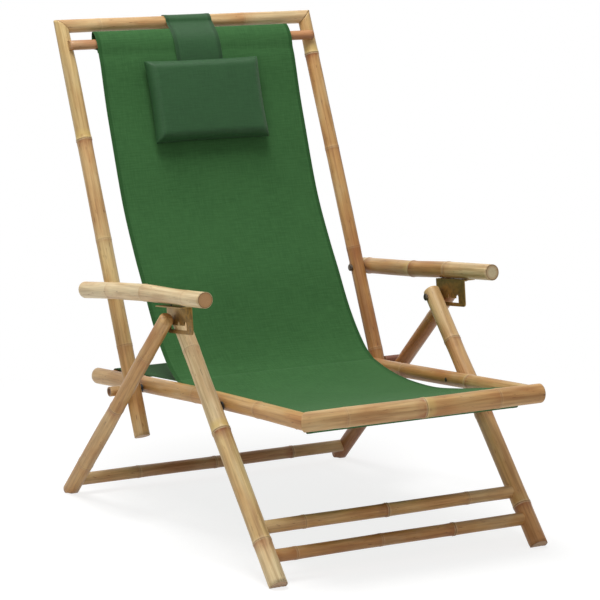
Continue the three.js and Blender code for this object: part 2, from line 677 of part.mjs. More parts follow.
const frontAngle = Math.atan2(railUp[1], railUp[0])
const slingFrontLeave = along(slingFront, railUp, hemMiddle)
const slingRearLeave = along(slingRear, railUp, hemMiddle)
const seatCurve = smooth([slingFrontLeave, ...seatShares.map(seatAt), crease], 22)
const tailShares = [0.33, 0.67, 1]
const tailCurve = tailShares.map((share) => lerp(crease, slingRearLeave, share))
const rearLoop = circle(slingRear, hemMiddle, frontAngle, frontAngle - loopTurn, loopSteps).slice(1)
piece('sling_seat', sheet([...hemmed(slingFront, seatCurve, frontAngle, 1), ...tailCurve, ...rearLoop]))

// Headrest pillow: a crowned cushion with a thin sewn edge, lying on the back sling
const pillowCols = 16
const pillowRows = 12
const clothPlaces = backPath.map((p) => {
  const away = [p[0] - backPivot[0], p[1] - backPivot[1]]
  return [away[0] * backWay[0] + away[1] * backWay[1], away[0] * backFront[0] + away[1] * backFront[1]]
})
function onCloth(s) {
  const below = clothPlaces.findIndex((place) => place[0] <= s)
  const [low, high] = [clothPlaces[below], clothPlaces[below - 1]]
  const share = (s - low[0]) / (high[0] - low[0])
  return onBack(s, lerp(low, high, share)[1] + FABRIC_T / 2 + 2 * FIT)
}
const pillowTop = BACK_ABOVE * slingTopShare - PILLOW_BELOW_BAR
const pillowBase = [onCloth(pillowTop - PILLOW_H), onCloth(pillowTop)]
const pillowWay = unit(minus(at(0, pillowBase[1]), at(0, pillowBase[0])))
const pillowFront = cross([1, 0, 0], pillowWay)
const pillowHeight = gapOf(pillowBase[0], pillowBase[1])
const crownPower = 2.6
const cornerShare = 0.035
const drawnInShare = 0.03
const crown = (u, v) => Math.sqrt((1 - Math.abs(u) ** crownPower) * (1 - Math.abs(v) ** crownPower))
const outline = (u, v) => 1 + cornerShare * u * u * v * v - drawnInShare * (1 - u * u * v * v)
function pillow() {
  const points = []
  const index = (layer, i, j) => (layer * (pillowCols + 1) + i) * (pillowRows + 1) + j
  for (const layer of [0, 1]) {
    for (let i = 0; i <= pillowCols; i += 1) {
      for (let j = 0; j <= pillowRows; j += 1) {
        const u = Math.sin(Math.PI * (i / pillowCols - 0.5))
        const v = Math.sin(Math.PI * (j / pillowRows - 0.5))
        const reach = outline(u, v)
        const rise = layer === 0 ? 0 : PILLOW_EDGE_T + (PILLOW_T - PILLOW_EDGE_T) * crown(u, v)
        const s = pillowHeight * (0.5 + 0.5 * v * reach)
        const base = plus([u * reach * PILLOW_W / 2, pillowBase[0][0], pillowBase[0][1]], times(pillowWay, s))
        points.push(plus(base, times(pillowFront, rise)))
      }
    }
  }
  const faces = []
  for (let i = 0; i < pillowCols; i += 1) {
    for (let j = 0; j < pillowRows; j += 1) {
      for (const layer of [0, 1]) {
        const [a, b] = [index(layer, i, j), index(layer, i + 1, j)]
        const [c, d] = [index(layer, i + 1, j + 1), index(layer, i, j + 1)]
        if (layer === 1) faces.push([a, b, c], [a, c, d])
        else faces.push([a, c, b], [a, d, c])
      }
    }
  }
  const rim = []
  for (let i = 0; i < pillowCols; i += 1) rim.push([i, 0])
  for (let j = 0; j < pillowRows; j += 1) rim.push([pillowCols, j])
  for (let i = pillowCols; i > 0; i -= 1) rim.push([i, pillowRows])
  for (let j = pillowRows; j > 0; j -= 1) rim.push([0, j])
  rim.forEach(([i, j], k) => {
    const [p, q] = rim[(k + 1) % rim.length]
    const [a, b, c, d] = [index(0, i, j), index(0, p, q), index(1, p, q), index(1, i, j)]
    faces.push([a, b, c], [a, c, d])
  })
  return solid(points, faces)
}
piece('headrest_pillow', pillow())

// Strap from the pillow's top edge over the top bar, hanging behind it
const strapR = TOP_BAR_R + FIT + STRAP_T / 2
const strapLowest = along(pillowBase[1], backWay, 3 * FIT)
const strapSteps = 12
const strapLoop = circle(topCorner, strapR, Math.PI - rad(STRAP_LEAD), 0, strapSteps)
const strapEnd = [topCorner[0] + strapR, topCorner[1] - STRAP_DROP]
const strapStart = along(strapLowest, backFront, STRAP_T)
const strapMiddle = along(slingTop, backFront, hemOuter + FIT + STRAP_T)
const strapRise = smooth([strapStart, strapMiddle, strapLoop[0]], 8).slice(0, -1)
const strapPath = [...strapRise, ...strapLoop, lerp(strapLoop[strapSteps], strapEnd, 0.5), strapEnd]
piece('headrest_strap', band(strapPath, STRAP_T, -STRAP_W / 2, STRAP_W / 2))

export default group
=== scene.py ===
"""Looks of a bamboo folding recliner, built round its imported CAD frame.

Poles, cloth, pillow and metal fittings are each made by an operator from sizes in metres (or in
millimetres where the name says so), on places that are read from the CAD nodes.
"""
import functools
import json
import math

import bmesh
import bpy
import numpy as np
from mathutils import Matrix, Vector


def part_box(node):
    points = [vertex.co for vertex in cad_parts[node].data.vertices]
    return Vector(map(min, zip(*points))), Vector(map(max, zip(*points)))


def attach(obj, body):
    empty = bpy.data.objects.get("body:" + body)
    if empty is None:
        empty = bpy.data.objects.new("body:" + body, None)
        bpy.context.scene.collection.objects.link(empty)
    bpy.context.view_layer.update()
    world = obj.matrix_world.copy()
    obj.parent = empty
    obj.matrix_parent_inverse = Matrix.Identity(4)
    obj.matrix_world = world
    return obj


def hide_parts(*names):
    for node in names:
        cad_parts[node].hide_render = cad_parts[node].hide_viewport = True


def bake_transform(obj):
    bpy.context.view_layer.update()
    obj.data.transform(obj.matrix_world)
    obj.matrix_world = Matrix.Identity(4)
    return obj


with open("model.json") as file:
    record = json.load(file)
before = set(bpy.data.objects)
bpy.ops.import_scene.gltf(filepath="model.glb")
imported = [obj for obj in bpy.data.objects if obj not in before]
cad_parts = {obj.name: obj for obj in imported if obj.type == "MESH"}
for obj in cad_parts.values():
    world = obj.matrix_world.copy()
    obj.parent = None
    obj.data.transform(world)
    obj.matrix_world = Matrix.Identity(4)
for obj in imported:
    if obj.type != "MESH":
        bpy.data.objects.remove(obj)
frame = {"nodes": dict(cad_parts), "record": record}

bl_info = {
    "name": "Bamboo Recliner",
    "version": (1, 0, 0),
    "blender": (4, 5, 0),
    "location": "View3D > Sidebar > Recliner",
    "description": "Builds a folding recliner of bamboo poles, canvas and plated fittings",
    "category": "Object",
}

MM = 0.001
RECORD = frame["record"]
BODY_OF = {node: body for body, nodes in RECORD["behaviour"]["bodies"].items() for node in nodes}
SLOT_OF = {part["node"]: part["material_slot"] for part in RECORD["subparts"]}
PIVOT = {joint["name"]: np.array(joint["pos_m"]) for joint in RECORD["behaviour"]["joints"]}


# Colours and vectors

def linear(text):
    """sRGB hex to linear RGB: c/12.92 up to 0.04045, above it ((c + 0.055)/1.055) to the 2.4."""
    parts = [int(text[k:k + 2], 16) / 255 for k in (1, 3, 5)]
    return tuple(c / 12.92 if c <= 0.04045 else ((c + 0.055) / 1.055) ** 2.4 for c in parts)


def opaque(text):
    """The same colour with an alpha of 1, as sockets and ramps want it."""
    return (*linear(text), 1.0)


def unit(v):
    """Vector divided by its own length."""
    return np.asarray(v, float) / np.linalg.norm(v)


def side_frame(near, far):
    """Side-view place of one joint, direction to another, and the direction a quarter turn left."""
    origin = PIVOT[near][1:]
    way = unit(PIVOT[far][1:] - origin)
    return origin, way, np.array([-way[1], way[0]])


BACK_FOOT, BACK_UP, BACK_AHEAD = side_frame("recline", "arm_bolt_turn_left")
RAIL_FOOT, RAIL_BACK, RAIL_UP = side_frame("fold", "recline")

# Shades of lacquered bamboo
TONES = {
    "straw": linear("#DCC084"),
    "honey": linear("#D0A366"),
    "sand": linear("#DDB983"),
    "rose": linear("#CB9668"),
    "umber": linear("#B47D45"),
    "gold": linear("#D8A868"),
    "cream": linear("#F0D8A8"),
    "tan": linear("#C28C50"),
}

# Hardware: name, shade, tarnish, metallic share, roughness and the shade of worn edges
METALS = {
    "brass_plate": ("dull brass plate", "#8C6A2E", "#5F4A22", 0.75, 0.42, "#B79A68"),
    "zinc_steel": ("dark plated steel", "#5E544A", "#332D28", 0.8, 0.45, "#8A7A68"),
    "black_washer": ("black washer", "#151413", "#201E1C", 0.0, 0.5, "#2A2826"),
}

# Each pole: tones between its nodes, kinds of its two ends, rise of each node above the straight
# axis in mm, and how far each node stands out. Poles run up, to the rear or to +X.
POLES = {
    "front_leg_left": ("cream straw cream cream", "cut dome", (0.3, -0.3, 0.0), (0.65, 1, 0.25)),
    "front_leg_right": ("tan honey sand sand", "cut dome", (-0.3, 0.4, 0.0), (0.7, 0.45, 0.6)),
    "rear_leg_left": ("honey sand honey gold", "cut dome", (0.3, -0.3, 0.0), (0.2, 0.6, 0.1)),
    "rear_leg_right": ("umber umber umber umber", "cut dome", (0.2, -0.2, 0.0), (0.3, 0.3, 0.2)),
    "seat_rail_left": ("honey gold honey sand", "mitre dome", (4.0, 6.5, 4.0), (0.3, 0.1, 0.5)),
    "seat_rail_right": ("straw umber umber honey", "butt dome", (0.3, -0.4, 0.2), (0.7, 0.5, 0.2)),
    "front_bar": ("sand sand honey honey", "mitre dome", (0.2, -0.3, 0.2), (0.1, 0.85, 0.2)),
    "back_pole_left": ("honey straw sand straw", "cut mitre", (0.4, -0.4, 0.4), (0.25, 0.2, 0.95)),
    # Its lowest bays are umber, partly the culm's own tone and partly painted shade.
    "back_pole_right": (
        "umber umber honey honey straw", "cut mitre", (0.3, -0.3, 0.4, 0.0), (0.2, 0.15, 0.3, 1)),
    "top_bar": ("sand sand sand cream", "mitre mitre", (0.3, -0.2, 0.3), (0.12, 0.1, 0.12)),
    "armrest_left": ("cream cream cream cream", "cut dome", (0.8, 5.2, 3.6), (0.1, 0.2, 0.15)),
    "armrest_right": ("cream tan tan straw", "cut dome", (0.9, -1.6, 0.6), (0.5, 0.8, 0.7)),
    "front_crossbar_upper": ("sand gold gold sand", "butt butt", (0.4, -0.3, 0.4), (0.4, 0.9, 0.3)),
    "front_crossbar_lower": ("umber tan tan honey", "butt butt", (-0.3, 0.4, 0.0), (0.3, 0.2, 0.9)),
    "rear_crossbar": ("sand rose rose sand", "butt butt", (0.3, -0.4, 0.3), (0.3, 0.5, 0.6)),
    "front_sling_bar": ("rose rose rose", "butt butt", (0.0, 0.0), (0, 0)),
    "rear_sling_bar": ("rose rose rose", "butt butt", (0.0, 0.0), (0, 0)),
    "back_sling_bar": ("rose rose rose", "butt butt", (0.0, 0.0), (0, 0)),
}
# The poles that meet a pole's start and its end in a mitre
MITRES = {
    "seat_rail_left": ("front_bar", None),
    "back_pole_left": (None, "top_bar"),
    "back_pole_right": (None, "top_bar"),
    "front_bar": ("seat_rail_left", None),
    "top_bar": ("back_pole_left", "back_pole_right"),
}
# How far an end is drawn out past the CAD pole's own end, in mm; less than zero is cut back
DRAWN_OUT = {
    "seat_rail_right": (-14.8, 0.0),
    "seat_rail_left": (0.0, 13.0),
    "front_crossbar_upper": (2.0, 2.0),
    "front_crossbar_lower": (2.0, 2.0),
    "rear_crossbar": (2.0, 2.0),
}
# Shares of the CAD radius: on the outward and on the inward side, in height at the start and at
# the end, and up to which share of the length they hold, where 2 is all of it
AS_THE_CAD = (1.0, 1.0, 1.0, 1.0, 2.0)
FULLER = {
    "front_leg_left": (1.04, 1.05, 1.12, 1.1, 0.62),
    "front_leg_right": (1.04, 1.05, 1.1, 1.08, 0.62),
    "rear_leg_left": (1.08, 1.06, 1.1, 1.1, 0.4),
    "rear_leg_right": (1.06, 1.04, 1.08, 1.08, 0.4),
    "back_pole_left": (1.0, 1.18, 1.12, 1.12, 0.88),
    "back_pole_right": (1.0, 1.05, 1.04, 1.04, 0.85),
    "seat_rail_left": (1.0, 1.0, 1.08, 1.12, 2.0),
    "front_bar": (1.0, 1.0, 1.08, 1.08, 2.0),
    "armrest_left": (1.0, 1.0, 1.0, 1.1, 2.0),
    "armrest_right": (1.0, 1.0, 1.04, 1.08, 2.0),
    "front_crossbar_upper": (1.14, 1.14, 1.14, 1.14, 2.0),
    "front_crossbar_lower": (1.13, 1.13, 1.13, 1.13, 2.0),
    "rear_crossbar": (1.18, 1.18, 1.18, 1.18, 2.0),
}
# Core colours of cut ends
CORES = {"armrest_left": "#BE9163", "armrest_right": "#D9C7A0"}
PLAIN_CORE = "#B8905F"
# The peg's core colour also fills its bore, where its dark brown is painted shade of the hole.
PEG_CORE_AND_BORE_SHADE = "#7A5535"
PEG_DARK = "#8A5A44"

# Sides of a CAD culm, height of its node rings, and the groove's place between a node's two rings
CAD_SIDES = 16
NODE_RISE = 0.9 * MM
GROOVE_SHARE = 0.1 / 0.22
# Places of the close rows on both sides of a node's groove, in mm
NODE_ROWS = (-11, -7.5, -5, -3.6, -2.5, -1.7, -1.0, -0.45, 0, 0.5, 1.2, 2.1, 3.2, 4.8, 7, 10.5)
DOME_HEIGHT = 0.42    # of the radius, at a rounded end
LOWEST = 0.2 * MM     # height that the feet keep above the floor
MITRE_GAP = 0.12 * MM
ON_THE_SIDE = 2.0     # a value of "face" that isn't on a cut face
PEG_BORE = 0.62       # of the peg's radius

# Washers and nuts that show smaller than the plain solids that stand for them: share of the
# radius that is kept, and of the nut's height
SLIMMED = {
    "leg_washer": (0.42, 1.0),
    "pivot_washer": (0.62, 1.0),
    "arm_bolt_washer": (0.7, 1.0),
    "leg_bolt": (0.6, 0.2),
}
NUT_HEIGHT = 4.9 * MM

# Cloth, as shares of the back's reach and of the rails' span in mm, and mm off their lines
BACK_REACH_MM = 785.5
RAIL_SPAN_MM = 655.0
SEAT_KNOTS = ((-0.33, 5), (-0.224, -2.5), (-0.082, -13), (0.063, -19), (0.241, -11), (0.331, 1))
CREASE = (0.417, 19)
BACK_KNOTS = (
    (0.88, 27), (0.765, 15), (0.684, 10), (0.486, 1), (0.357, 9), (0.262, 20), (0.145, 33), (0.062, 51))
BACK_LOW = (0.018, 67)

# The floor keeps the soft shadow out to this far from its middle, and fades it over the next
SHADOW_REACH = 0.9
SHADOW_FADE = 0.6
# Lights: place, target, size and share of the key light. Camera: place and turn in degrees.
LIGHTS = {
    "overhead": ((-0.6, -0.1, 4.2), (0.0, 0.1, 0.4), 1.8, 1.0),
    "front left": ((-3.0, -2.6, 1.6), (0.0, 0.0, 0.4), 1.6, 0.14),
}
CAMERA_PLACE = (-2.6007, -4.6766, 1.4115)
CAMERA_TURN = (90 - 10.219, 0.0, -29.155)
CAMERA_LENS_MM = 161.1
CAMERA_SENSOR_MM = 36.0


# Reading the CAD nodes

def node_points(node):
    """The CAD node's corners, each once, as an array of rows x, y, z."""
    mesh = frame["nodes"][node].data
    flat = np.empty(3 * len(mesh.vertices))
    mesh.vertices.foreach_get("co", flat)
    return np.unique(np.round(flat.reshape(-1, 3), 6), axis=0)


def axis_of(points):
    """Middle and direction of the line that fits the points best, pointing up, back or to +X."""
    middle = points.mean(axis=0)
    way = np.linalg.svd(points - middle, full_matrices=False)[2][0]
    return middle, way * (1.0 if way @ (1.0, 1.0, 3.0) > 0 else -1.0)


def rings_of(points, middle, way):
    """Whole rings of a turned pole: runs of corners less than 0.3 mm apart along its axis."""
    place = (points - middle) @ way
    order = np.argsort(place)
    breaks = np.nonzero(np.diff(place[order]) > 0.3 * MM)[0] + 1
    return [points[run] for run in np.split(order, breaks) if len(run) == CAD_SIDES]


@functools.cache
def pole_of(node):
    """Start, direction, length, radius and node places of a round pole, in metres."""
    points = node_points(node)
    middle, way = axis_of(points)
    for _ in range(2):
        rings = rings_of(points, middle, way)
        middle, way = axis_of(np.array([ring.mean(axis=0) for ring in rings]))
    place = (points - middle) @ way
    far = np.linalg.norm((points - middle) - np.outer(place, way), axis=1)
    widest = max(np.linalg.norm(ring - ring.mean(axis=0), axis=1).mean() for ring in rings)
    outer = np.sort(place[np.abs(far - widest) < 0.1 * MM])
    runs = np.split(outer, np.nonzero(np.diff(outer) > 0.3 * MM)[0] + 1)
    ridges = [run.mean() for run in runs if len(run) > 5]
    start = place.min()
    pairs = [(a, b) for a, b in zip(ridges[:-1], ridges[1:]) if b - a < 0.5 * widest]
    level = abs(way[0]) > 0.7
    across = unit(np.cross(way, (0.0, 0.0, 1.0))) if level else np.array([1.0, 0.0, 0.0])
    up = np.cross(across, way)
    return {
        "start": middle + way * start,
        "way": way,
        "across": across,
        "up": up * (1.0 if up[2] > 0 else -1.0),
        "length": place.max() - start,
        "radius": widest - NODE_RISE,
        "nodes": np.array([a + (b - a) * GROOVE_SHARE - start for a, b in pairs]),
    }


def corner_of(node, other):
    """The point of one pole's axis nearest the other's, and the mitre plane's normal there."""
    a, b = pole_of(node), pole_of(other)
    cross = np.cross(a["way"], b["way"])
    along = np.dot(np.cross(b["start"] - a["start"], b["way"]), cross) / (cross @ cross)
    point = a["start"] + a["way"] * along
    away_a = a["way"] if along < a["length"] / 2 else -a["way"]
    near_b = (point - b["start"]) @ b["way"] < b["length"] / 2
    away_b = b["way"] if near_b else -b["way"]
    return point, unit(away_a - away_b)


# Meshes

def placed(data):
    """Puts a mesh, a light or a camera into the scene at the origin, under its own name."""
    obj = bpy.data.objects.new(data.name, data)
    bpy.context.scene.collection.objects.link(obj)
    return obj


def mesh_object(name, points, faces):
    """A smooth mesh object at the origin from an array of corner points and a list of faces."""
    mesh = bpy.data.meshes.new(name)
    mesh.from_pydata(np.asarray(points).tolist(), [], faces)
    mesh.validate()
    mesh.polygons.foreach_set("use_smooth", [True] * len(mesh.polygons))
    return placed(mesh)


def write_values(obj, **named):
    """Stores numbers, or rows of three, under their names: one for all the corner points, one for
    each ring of them, or one for each point."""
    total = len(obj.data.vertices)
    for name, values in named.items():
        values = np.asarray(values, float)
        wide = values.shape[-1:] == (3,)
        values = values.reshape(-1, 3) if wide else values.ravel()
        layer = obj.data.attributes.new(name, "FLOAT_VECTOR" if wide else "FLOAT", "POINT")
        spread = np.repeat(values, total // len(values), axis=0)
        layer.data.foreach_set("vector" if wide else "value", spread.ravel())


def stacked(x, y, z):
    """Points on the last axis from three arrays that are spread to one shape."""
    return np.stack(np.broadcast_arrays(x, y, z), axis=-1)


def grid_faces(rows, columns, closed):
    """Quads of a grid of points, row after row, closed round its columns or open."""
    i, j = np.meshgrid(np.arange(rows - 1), np.arange(columns - (not closed)), indexing="ij")
    k = (j + 1) % columns
    low, high = i * columns, (i + 1) * columns
    return np.stack([low + j, low + k, high + k, high + j], axis=-1).reshape(-1, 4)


def tube_object(name, points, inside_out):
    """A closed tube through rings of points, with a lid on its first and on its last ring."""
    rows, around = points.shape[:2]
    turn = -1 if inside_out else 1
    lids = (np.arange(around)[::-1], (rows - 1) * around + np.arange(around))
    faces = grid_faces(rows, around, True)[:, ::turn].tolist() + [lid[::turn].tolist() for lid in lids]
    return mesh_object(name, points.reshape(-1, 3), faces)


def finish_piece(obj, node, rides=True):
    """Gives a piece the material of its CAD node's slot, hides that node, and puts the piece on the
    node's body when it rides.
    """
    obj.data.materials.append(material_for(SLOT_OF[node]))
    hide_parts(node)
    if rides:
        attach(obj, BODY_OF[node])


# Node trees

def add(tree, kind, *values, out=None, stops=(), **settings):
    """Adds a shader node with its settings and its ramp's stops of place and shade. Fills its live
    inputs in order, or those that a dict names, with sockets, values or hex shades, and returns
    the first live output or the named one. A second word in kind is the operation."""
    kind, *operation = kind.split()
    item = tree.nodes.new("ShaderNode" + kind)
    if operation:
        item.operation = operation[0]
    for key, value in settings.items():
        setattr(item, key, value)
    for _ in stops[2:]:
        item.color_ramp.elements.new(0.5)
    for k, (place, shade) in enumerate(stops):
        item.color_ramp.elements[k].position = place
        colour = opaque(shade) if isinstance(shade, str) else (shade, shade, shade, 1.0)
        item.color_ramp.elements[k].color = colour
    live = [socket for socket in item.inputs if socket.enabled]
    by_name = values and isinstance(values[0], dict)
    for key, value in (values[0].items() if by_name else enumerate(values)):
        socket = item.inputs[key] if by_name else live[key]
        if isinstance(value, bpy.types.NodeSocket):
            tree.links.new(value, socket)
        else:
            socket.default_value = opaque(value) if isinstance(value, str) else value
    first = next((socket for socket in item.outputs if socket.enabled), None)
    return item.outputs[out] if out else first


def new_material(name):
    """An empty node material and its tree."""
    material = bpy.data.materials.new(name)
    material.use_nodes = True
    material.node_tree.nodes.clear()
    return material, material.node_tree


def product(tree, *values):
    """Product of two or more numbers."""
    return functools.reduce(lambda a, b: add(tree, "Math MULTIPLY", a, b), values)


def pattern(tree, where, scale, detail, stretch=(1.0, 1.0, 1.0)):
    """Cloudy values on coordinates that are stretched first, with scale clouds to a unit."""
    where = add(tree, "Mapping", {"Vector": where, "Scale": stretch})
    return add(tree, "TexNoise", where, scale, detail)


def coat(tree, colour, shade, mask, *stops, mode="MIX"):
    """Lays a shade over a colour by a mask, which may be read through stops of place and strength."""
    mask = add(tree, "ValToRGB", mask, stops=stops) if stops else mask
    return add(tree, "Mix", mask, colour, shade, data_type="RGBA", blend_type=mode)


def surface(tree, height, depth, sockets):
    """Principled surface with a bump of the given depth in metres."""
    bump = add(tree, "Bump", {"Height": height, "Distance": depth, "Strength": 1.0})
    add(tree, "OutputMaterial", add(tree, "BsdfPrincipled", {"Normal": bump, **sockets}))


def bamboo_material():
    """Bamboo culm under a thin lacquer: satin gloss over long fibres, cloudy honey patches, dark
    lines and pale lips at the nodes, brown stain below them and a yellow band above, and cut ends
    with a core and a dark rim, which is painted shade. Clouds are about 38 mm wide, streaks 7 mm,
    flecks 3 mm and fibres 1.2 mm, all drawn out along the culm; the fibres are coarser than real ones, to
    show."""
    material, tree = new_material("bamboo culm")
    grain = add(tree, "Attribute", out="Vector", attribute_name="grain")
    tint, core = [add(tree, "Attribute", attribute_name=name) for name in ("tint", "core")]
    gap, above, stain, band, scar, face = [
        add(tree, "Attribute", out="Fac", attribute_name=name)
        for name in ("node_gap", "node_side", "stain", "band", "scar", "face")]
    clouds = pattern(tree, grain, 26.0, 3.0, (1.0, 1.0, 0.35))
    streaks = pattern(tree, grain, 150.0, 3.0, (1.0, 1.0, 0.045))
    fibres = pattern(tree, grain, 850.0, 2.0, (1.0, 1.0, 0.02))
    flecks = pattern(tree, grain, 330.0, 2.0, (1.0, 1.0, 0.16))
    blotches = pattern(tree, grain, 95.0, 3.0, (1.0, 1.0, 0.5))
    streaked = add(tree, "ValToRGB", streaks, stops=((0.3, "#D6CBBE"), (0.58, 1.0)))
    fibrous = add(tree, "ValToRGB", fibres, stops=((0.3, 0.84), (0.62, 1.0)))
    colour = coat(tree, tint, "#D9A878", clouds, (0.45, 0.0), (0.72, 0.55), mode="MULTIPLY")
    colour = coat(tree, colour, "#DFCFA4", clouds, (0.28, 0.3), (0.46, 0.0))
    colour = coat(tree, colour, streaked, 1.0, mode="MULTIPLY")
    colour = coat(tree, colour, fibrous, 1.0, mode="MULTIPLY")
    colour = coat(tree, colour, "#8A5A32", flecks, (0.66, 0.0), (0.74, 0.55), mode="MULTIPLY")
    # Marks of the nodes, by the distance from the groove: 0 to 30 mm in a ramp of 0 to 1
    near = add(tree, "Math DIVIDE", gap, 30.0)
    below = add(tree, "Math SUBTRACT", 1.0, above)
    smudge = add(tree, "ValToRGB", blotches, stops=((0.32, 0.15), (0.62, 1.0)))
    fading, yellow, lip, line = [add(tree, "ValToRGB", near, stops=stops) for stops in (
        ((0.0, 0.6), (0.08, 1.0), (0.3, 0.6), (0.9, 0.0)),
        ((0.03, 0.85), (0.45, 0.6), (0.75, 0.0)),
        ((0.02, 0.0), (0.045, 0.6), (0.1, 0.4), (0.13, 0.0)),
        ((0.012, 0.8), (0.03, 0.0)))]
    stained = product(tree, fading, smudge, below, stain)
    colour = coat(tree, colour, "#AC6634", stained, mode="MULTIPLY")
    colour = coat(tree, colour, "#D6B870", product(tree, yellow, band, above))
    colour = coat(tree, colour, "#E0CBA0", product(tree, lip, smudge, stain))
    colour = coat(tree, colour, "#4A2E17", product(tree, line, stain))
    colour = coat(tree, colour, "#8F5A30", scar)
    # Cut ends, by the share of the radius from the core out, with pores of 1 mm
    pores = pattern(tree, grain, 1100.0, 1.0)
    cut = coat(tree, core, "#B08250", face, (0.5, 0.0), (0.8, 0.5))
    # A dark ring at the rim of each cut face is painted shade of the rim.
    cut = coat(tree, cut, "#6B4526", face, (0.84, 0.0), (0.94, 1.0))
    cut = coat(tree, cut, "#94683D", pores, (0.5, 0.0), (0.75, 0.4))
    colour = coat(tree, colour, cut, add(tree, "Math LESS_THAN", face, 1.05))
    height = add(tree, "Math ADD", product(tree, fibres, 0.35), product(tree, streaks, 0.65))
    rough = add(tree, "ValToRGB", clouds, stops=((0.3, 0.4), (0.7, 0.56)))
    surface(tree, height, 0.4 * MM, {
        "Base Color": colour, "Roughness": rough, "Specular IOR Level": 0.4, "Coat Weight": 0.12,
        "Coat Roughness": 0.3})
    return material


def canvas_material(name, shade, worn, pitch, sheen, rough):
    """Cotton canvas in a plain weave: two sets of yarns of the given pitch in mm on the sheet's own
    millimetres, each the square of a sine, with slubs here and there, a stitched line near each
    edge and hem, and paler edges. The crowns of the yarns are painted lighter than the gaps between
    them, a painted sheen and shade, and a band along each edge is painted darker as painted shade.
    It looks matt, with a faint sheen at a low angle."""
    material, tree = new_material(name)
    weave = add(tree, "Attribute", out="Vector", attribute_name="weave")
    edge, seam = [add(tree, "Attribute", out="Fac", attribute_name=word)
                  for word in ("edge_mm", "seam_mm")]
    place = add(tree, "SeparateXYZ", weave).node.outputs
    yarns = []
    for axis, stretch in enumerate(((0.9, 0.012, 1.0), (0.012, 0.9, 1.0))):
        wave = add(tree, "Math SINE", product(tree, place[axis], math.pi / pitch))
        slub = add(tree, "Math ADD", pattern(tree, weave, 1.0, 2.0, stretch), 0.25)
        yarns.append(product(tree, wave, wave, slub))
    cloth = add(tree, "Math MAXIMUM", *yarns)
    # The crowns of the yarns are painted lighter and the gaps between them darker: a painted sheen and
    # shade on each thread.
    painted_yarn_shine = add(tree, "ValToRGB", cloth, stops=((0.1, 0.78), (0.6, 1.0)))
    warp = pattern(tree, weave, 1.0, 2.0, (0.35, 0.03, 1.0))
    weft = pattern(tree, weave, 1.0, 2.0, (0.03, 0.35, 1.0))
    clouds = pattern(tree, weave, 0.012, 3.0)
    colour = coat(tree, shade, worn, warp, (0.3, 0.0), (0.7, 1.0))
    colour = coat(tree, colour, "#6F946F", weft, (0.35, 0.25), (0.65, 0.0), mode="MULTIPLY")
    colour = coat(tree, colour, worn, clouds, (0.35, 0.0), (0.7, 0.35))
    colour = coat(tree, colour, painted_yarn_shine, 1.0, mode="MULTIPLY")
    # Stitches 2.8 mm long and 1.2 mm apart, on a line 9 mm from the edge and one along each hem
    off_line = add(tree, "Math ABSOLUTE", add(tree, "Math SUBTRACT", edge, 9.0))
    stitches = []
    for off, way in ((off_line, place[1]), (seam, place[0])):
        turn = add(tree, "Math FRACT", add(tree, "Math DIVIDE", way, 4.0))
        dash = add(tree, "Math LESS_THAN", turn, 0.7)
        stitches.append(product(tree, add(tree, "Math LESS_THAN", off, 0.45), dash))
    thread = product(tree, add(tree, "Math MAXIMUM", *stitches), 0.3)
    colour = coat(tree, colour, worn, thread)
    border = add(tree, "Math DIVIDE", edge, 10.0)
    # Within 10 mm of each edge the colour is painted darker: painted shade where the edge curls.
    colour = coat(tree, colour, "#86B08C", border, (0.7, 0.55), (1.0, 0.0), mode="MULTIPLY")
    colour = coat(tree, colour, "#6B9268", border, (0.0, 0.3), (0.1, 0.0))
    # The thread lies in a dip that reaches about 3 mm to each side
    dip = add(tree, "Math DIVIDE", add(tree, "Math MINIMUM", off_line, seam), 4.0)
    dip = add(tree, "ValToRGB", dip, stops=((0.0, 0.0), (0.7, 0.6)))
    height = add(tree, "Math ADD", add(tree, "Math ADD", product(tree, cloth, 0.3), dip), thread)
    surface(tree, height, 0.3 * MM, {
        "Base Color": colour, "Roughness": rough, "Specular IOR Level": 0.25, "Sheen Weight": sheen,
        "Sheen Roughness": 0.45})
    return material


def metal_material(name, shade, stained, metallic, rough, worn):
    """Stamped or turned hardware: tarnish in clouds of 8 mm, fine scuffs of 1 mm, drawn out from
    front to rear, that change the gloss, and sharp edges worn bright."""
    material, tree = new_material(name)
    where = add(tree, "TexCoord", out="Object")
    clouds = pattern(tree, where, 130.0, 3.0)
    scuffs = pattern(tree, where, 900.0, 2.0, (1.0, 0.15, 1.0))
    sharp = add(tree, "NewGeometry", out="Pointiness")
    colour = coat(tree, shade, stained, clouds, (0.38, 0.0), (0.66, 1.0))
    colour = coat(tree, colour, worn, sharp, (0.52, 0.0), (0.58, 0.5))
    gloss = add(tree, "ValToRGB", scuffs, stops=((0.3, rough - 0.08), (0.7, rough + 0.1)))
    surface(tree, scuffs, 0.06 * MM, {"Base Color": colour, "Roughness": gloss, "Metallic": metallic})
    return material


@functools.cache
def material_for(slot):
    """The material of a record slot, made once."""
    chair = bpy.context.scene.recliner
    if slot == "bamboo":
        return bamboo_material()
    if slot == "green_canvas":
        shades = (*chair.cloth_colour, 1.0), (*chair.cloth_worn_colour, 1.0)
        return canvas_material("green canvas", *shades, 0.9, 0.04, 0.9)
    if slot == "pillow_canvas":
        shades = (*chair.pillow_colour, 1.0), (*chair.pillow_worn_colour, 1.0)
        return canvas_material("pillow canvas", *shades, 0.7, 0.06, 0.48)
    return metal_material(*METALS[slot])


# Bamboo poles

def node_profile(gap):
    """Rise of the culm's wall in mm by the signed distance in mm from a node's groove: a lip
    below, a softer ridge above, a thin groove between and a slow swelling on both sides."""
    bell = lambda at, wide: np.exp(-((gap - at) / wide) ** 2)
    return 0.8 * bell(-1.6, 1.5) + 0.7 * bell(2.2, 1.9) - 0.4 * bell(0, 0.6) + 0.5 * bell(0, 11)


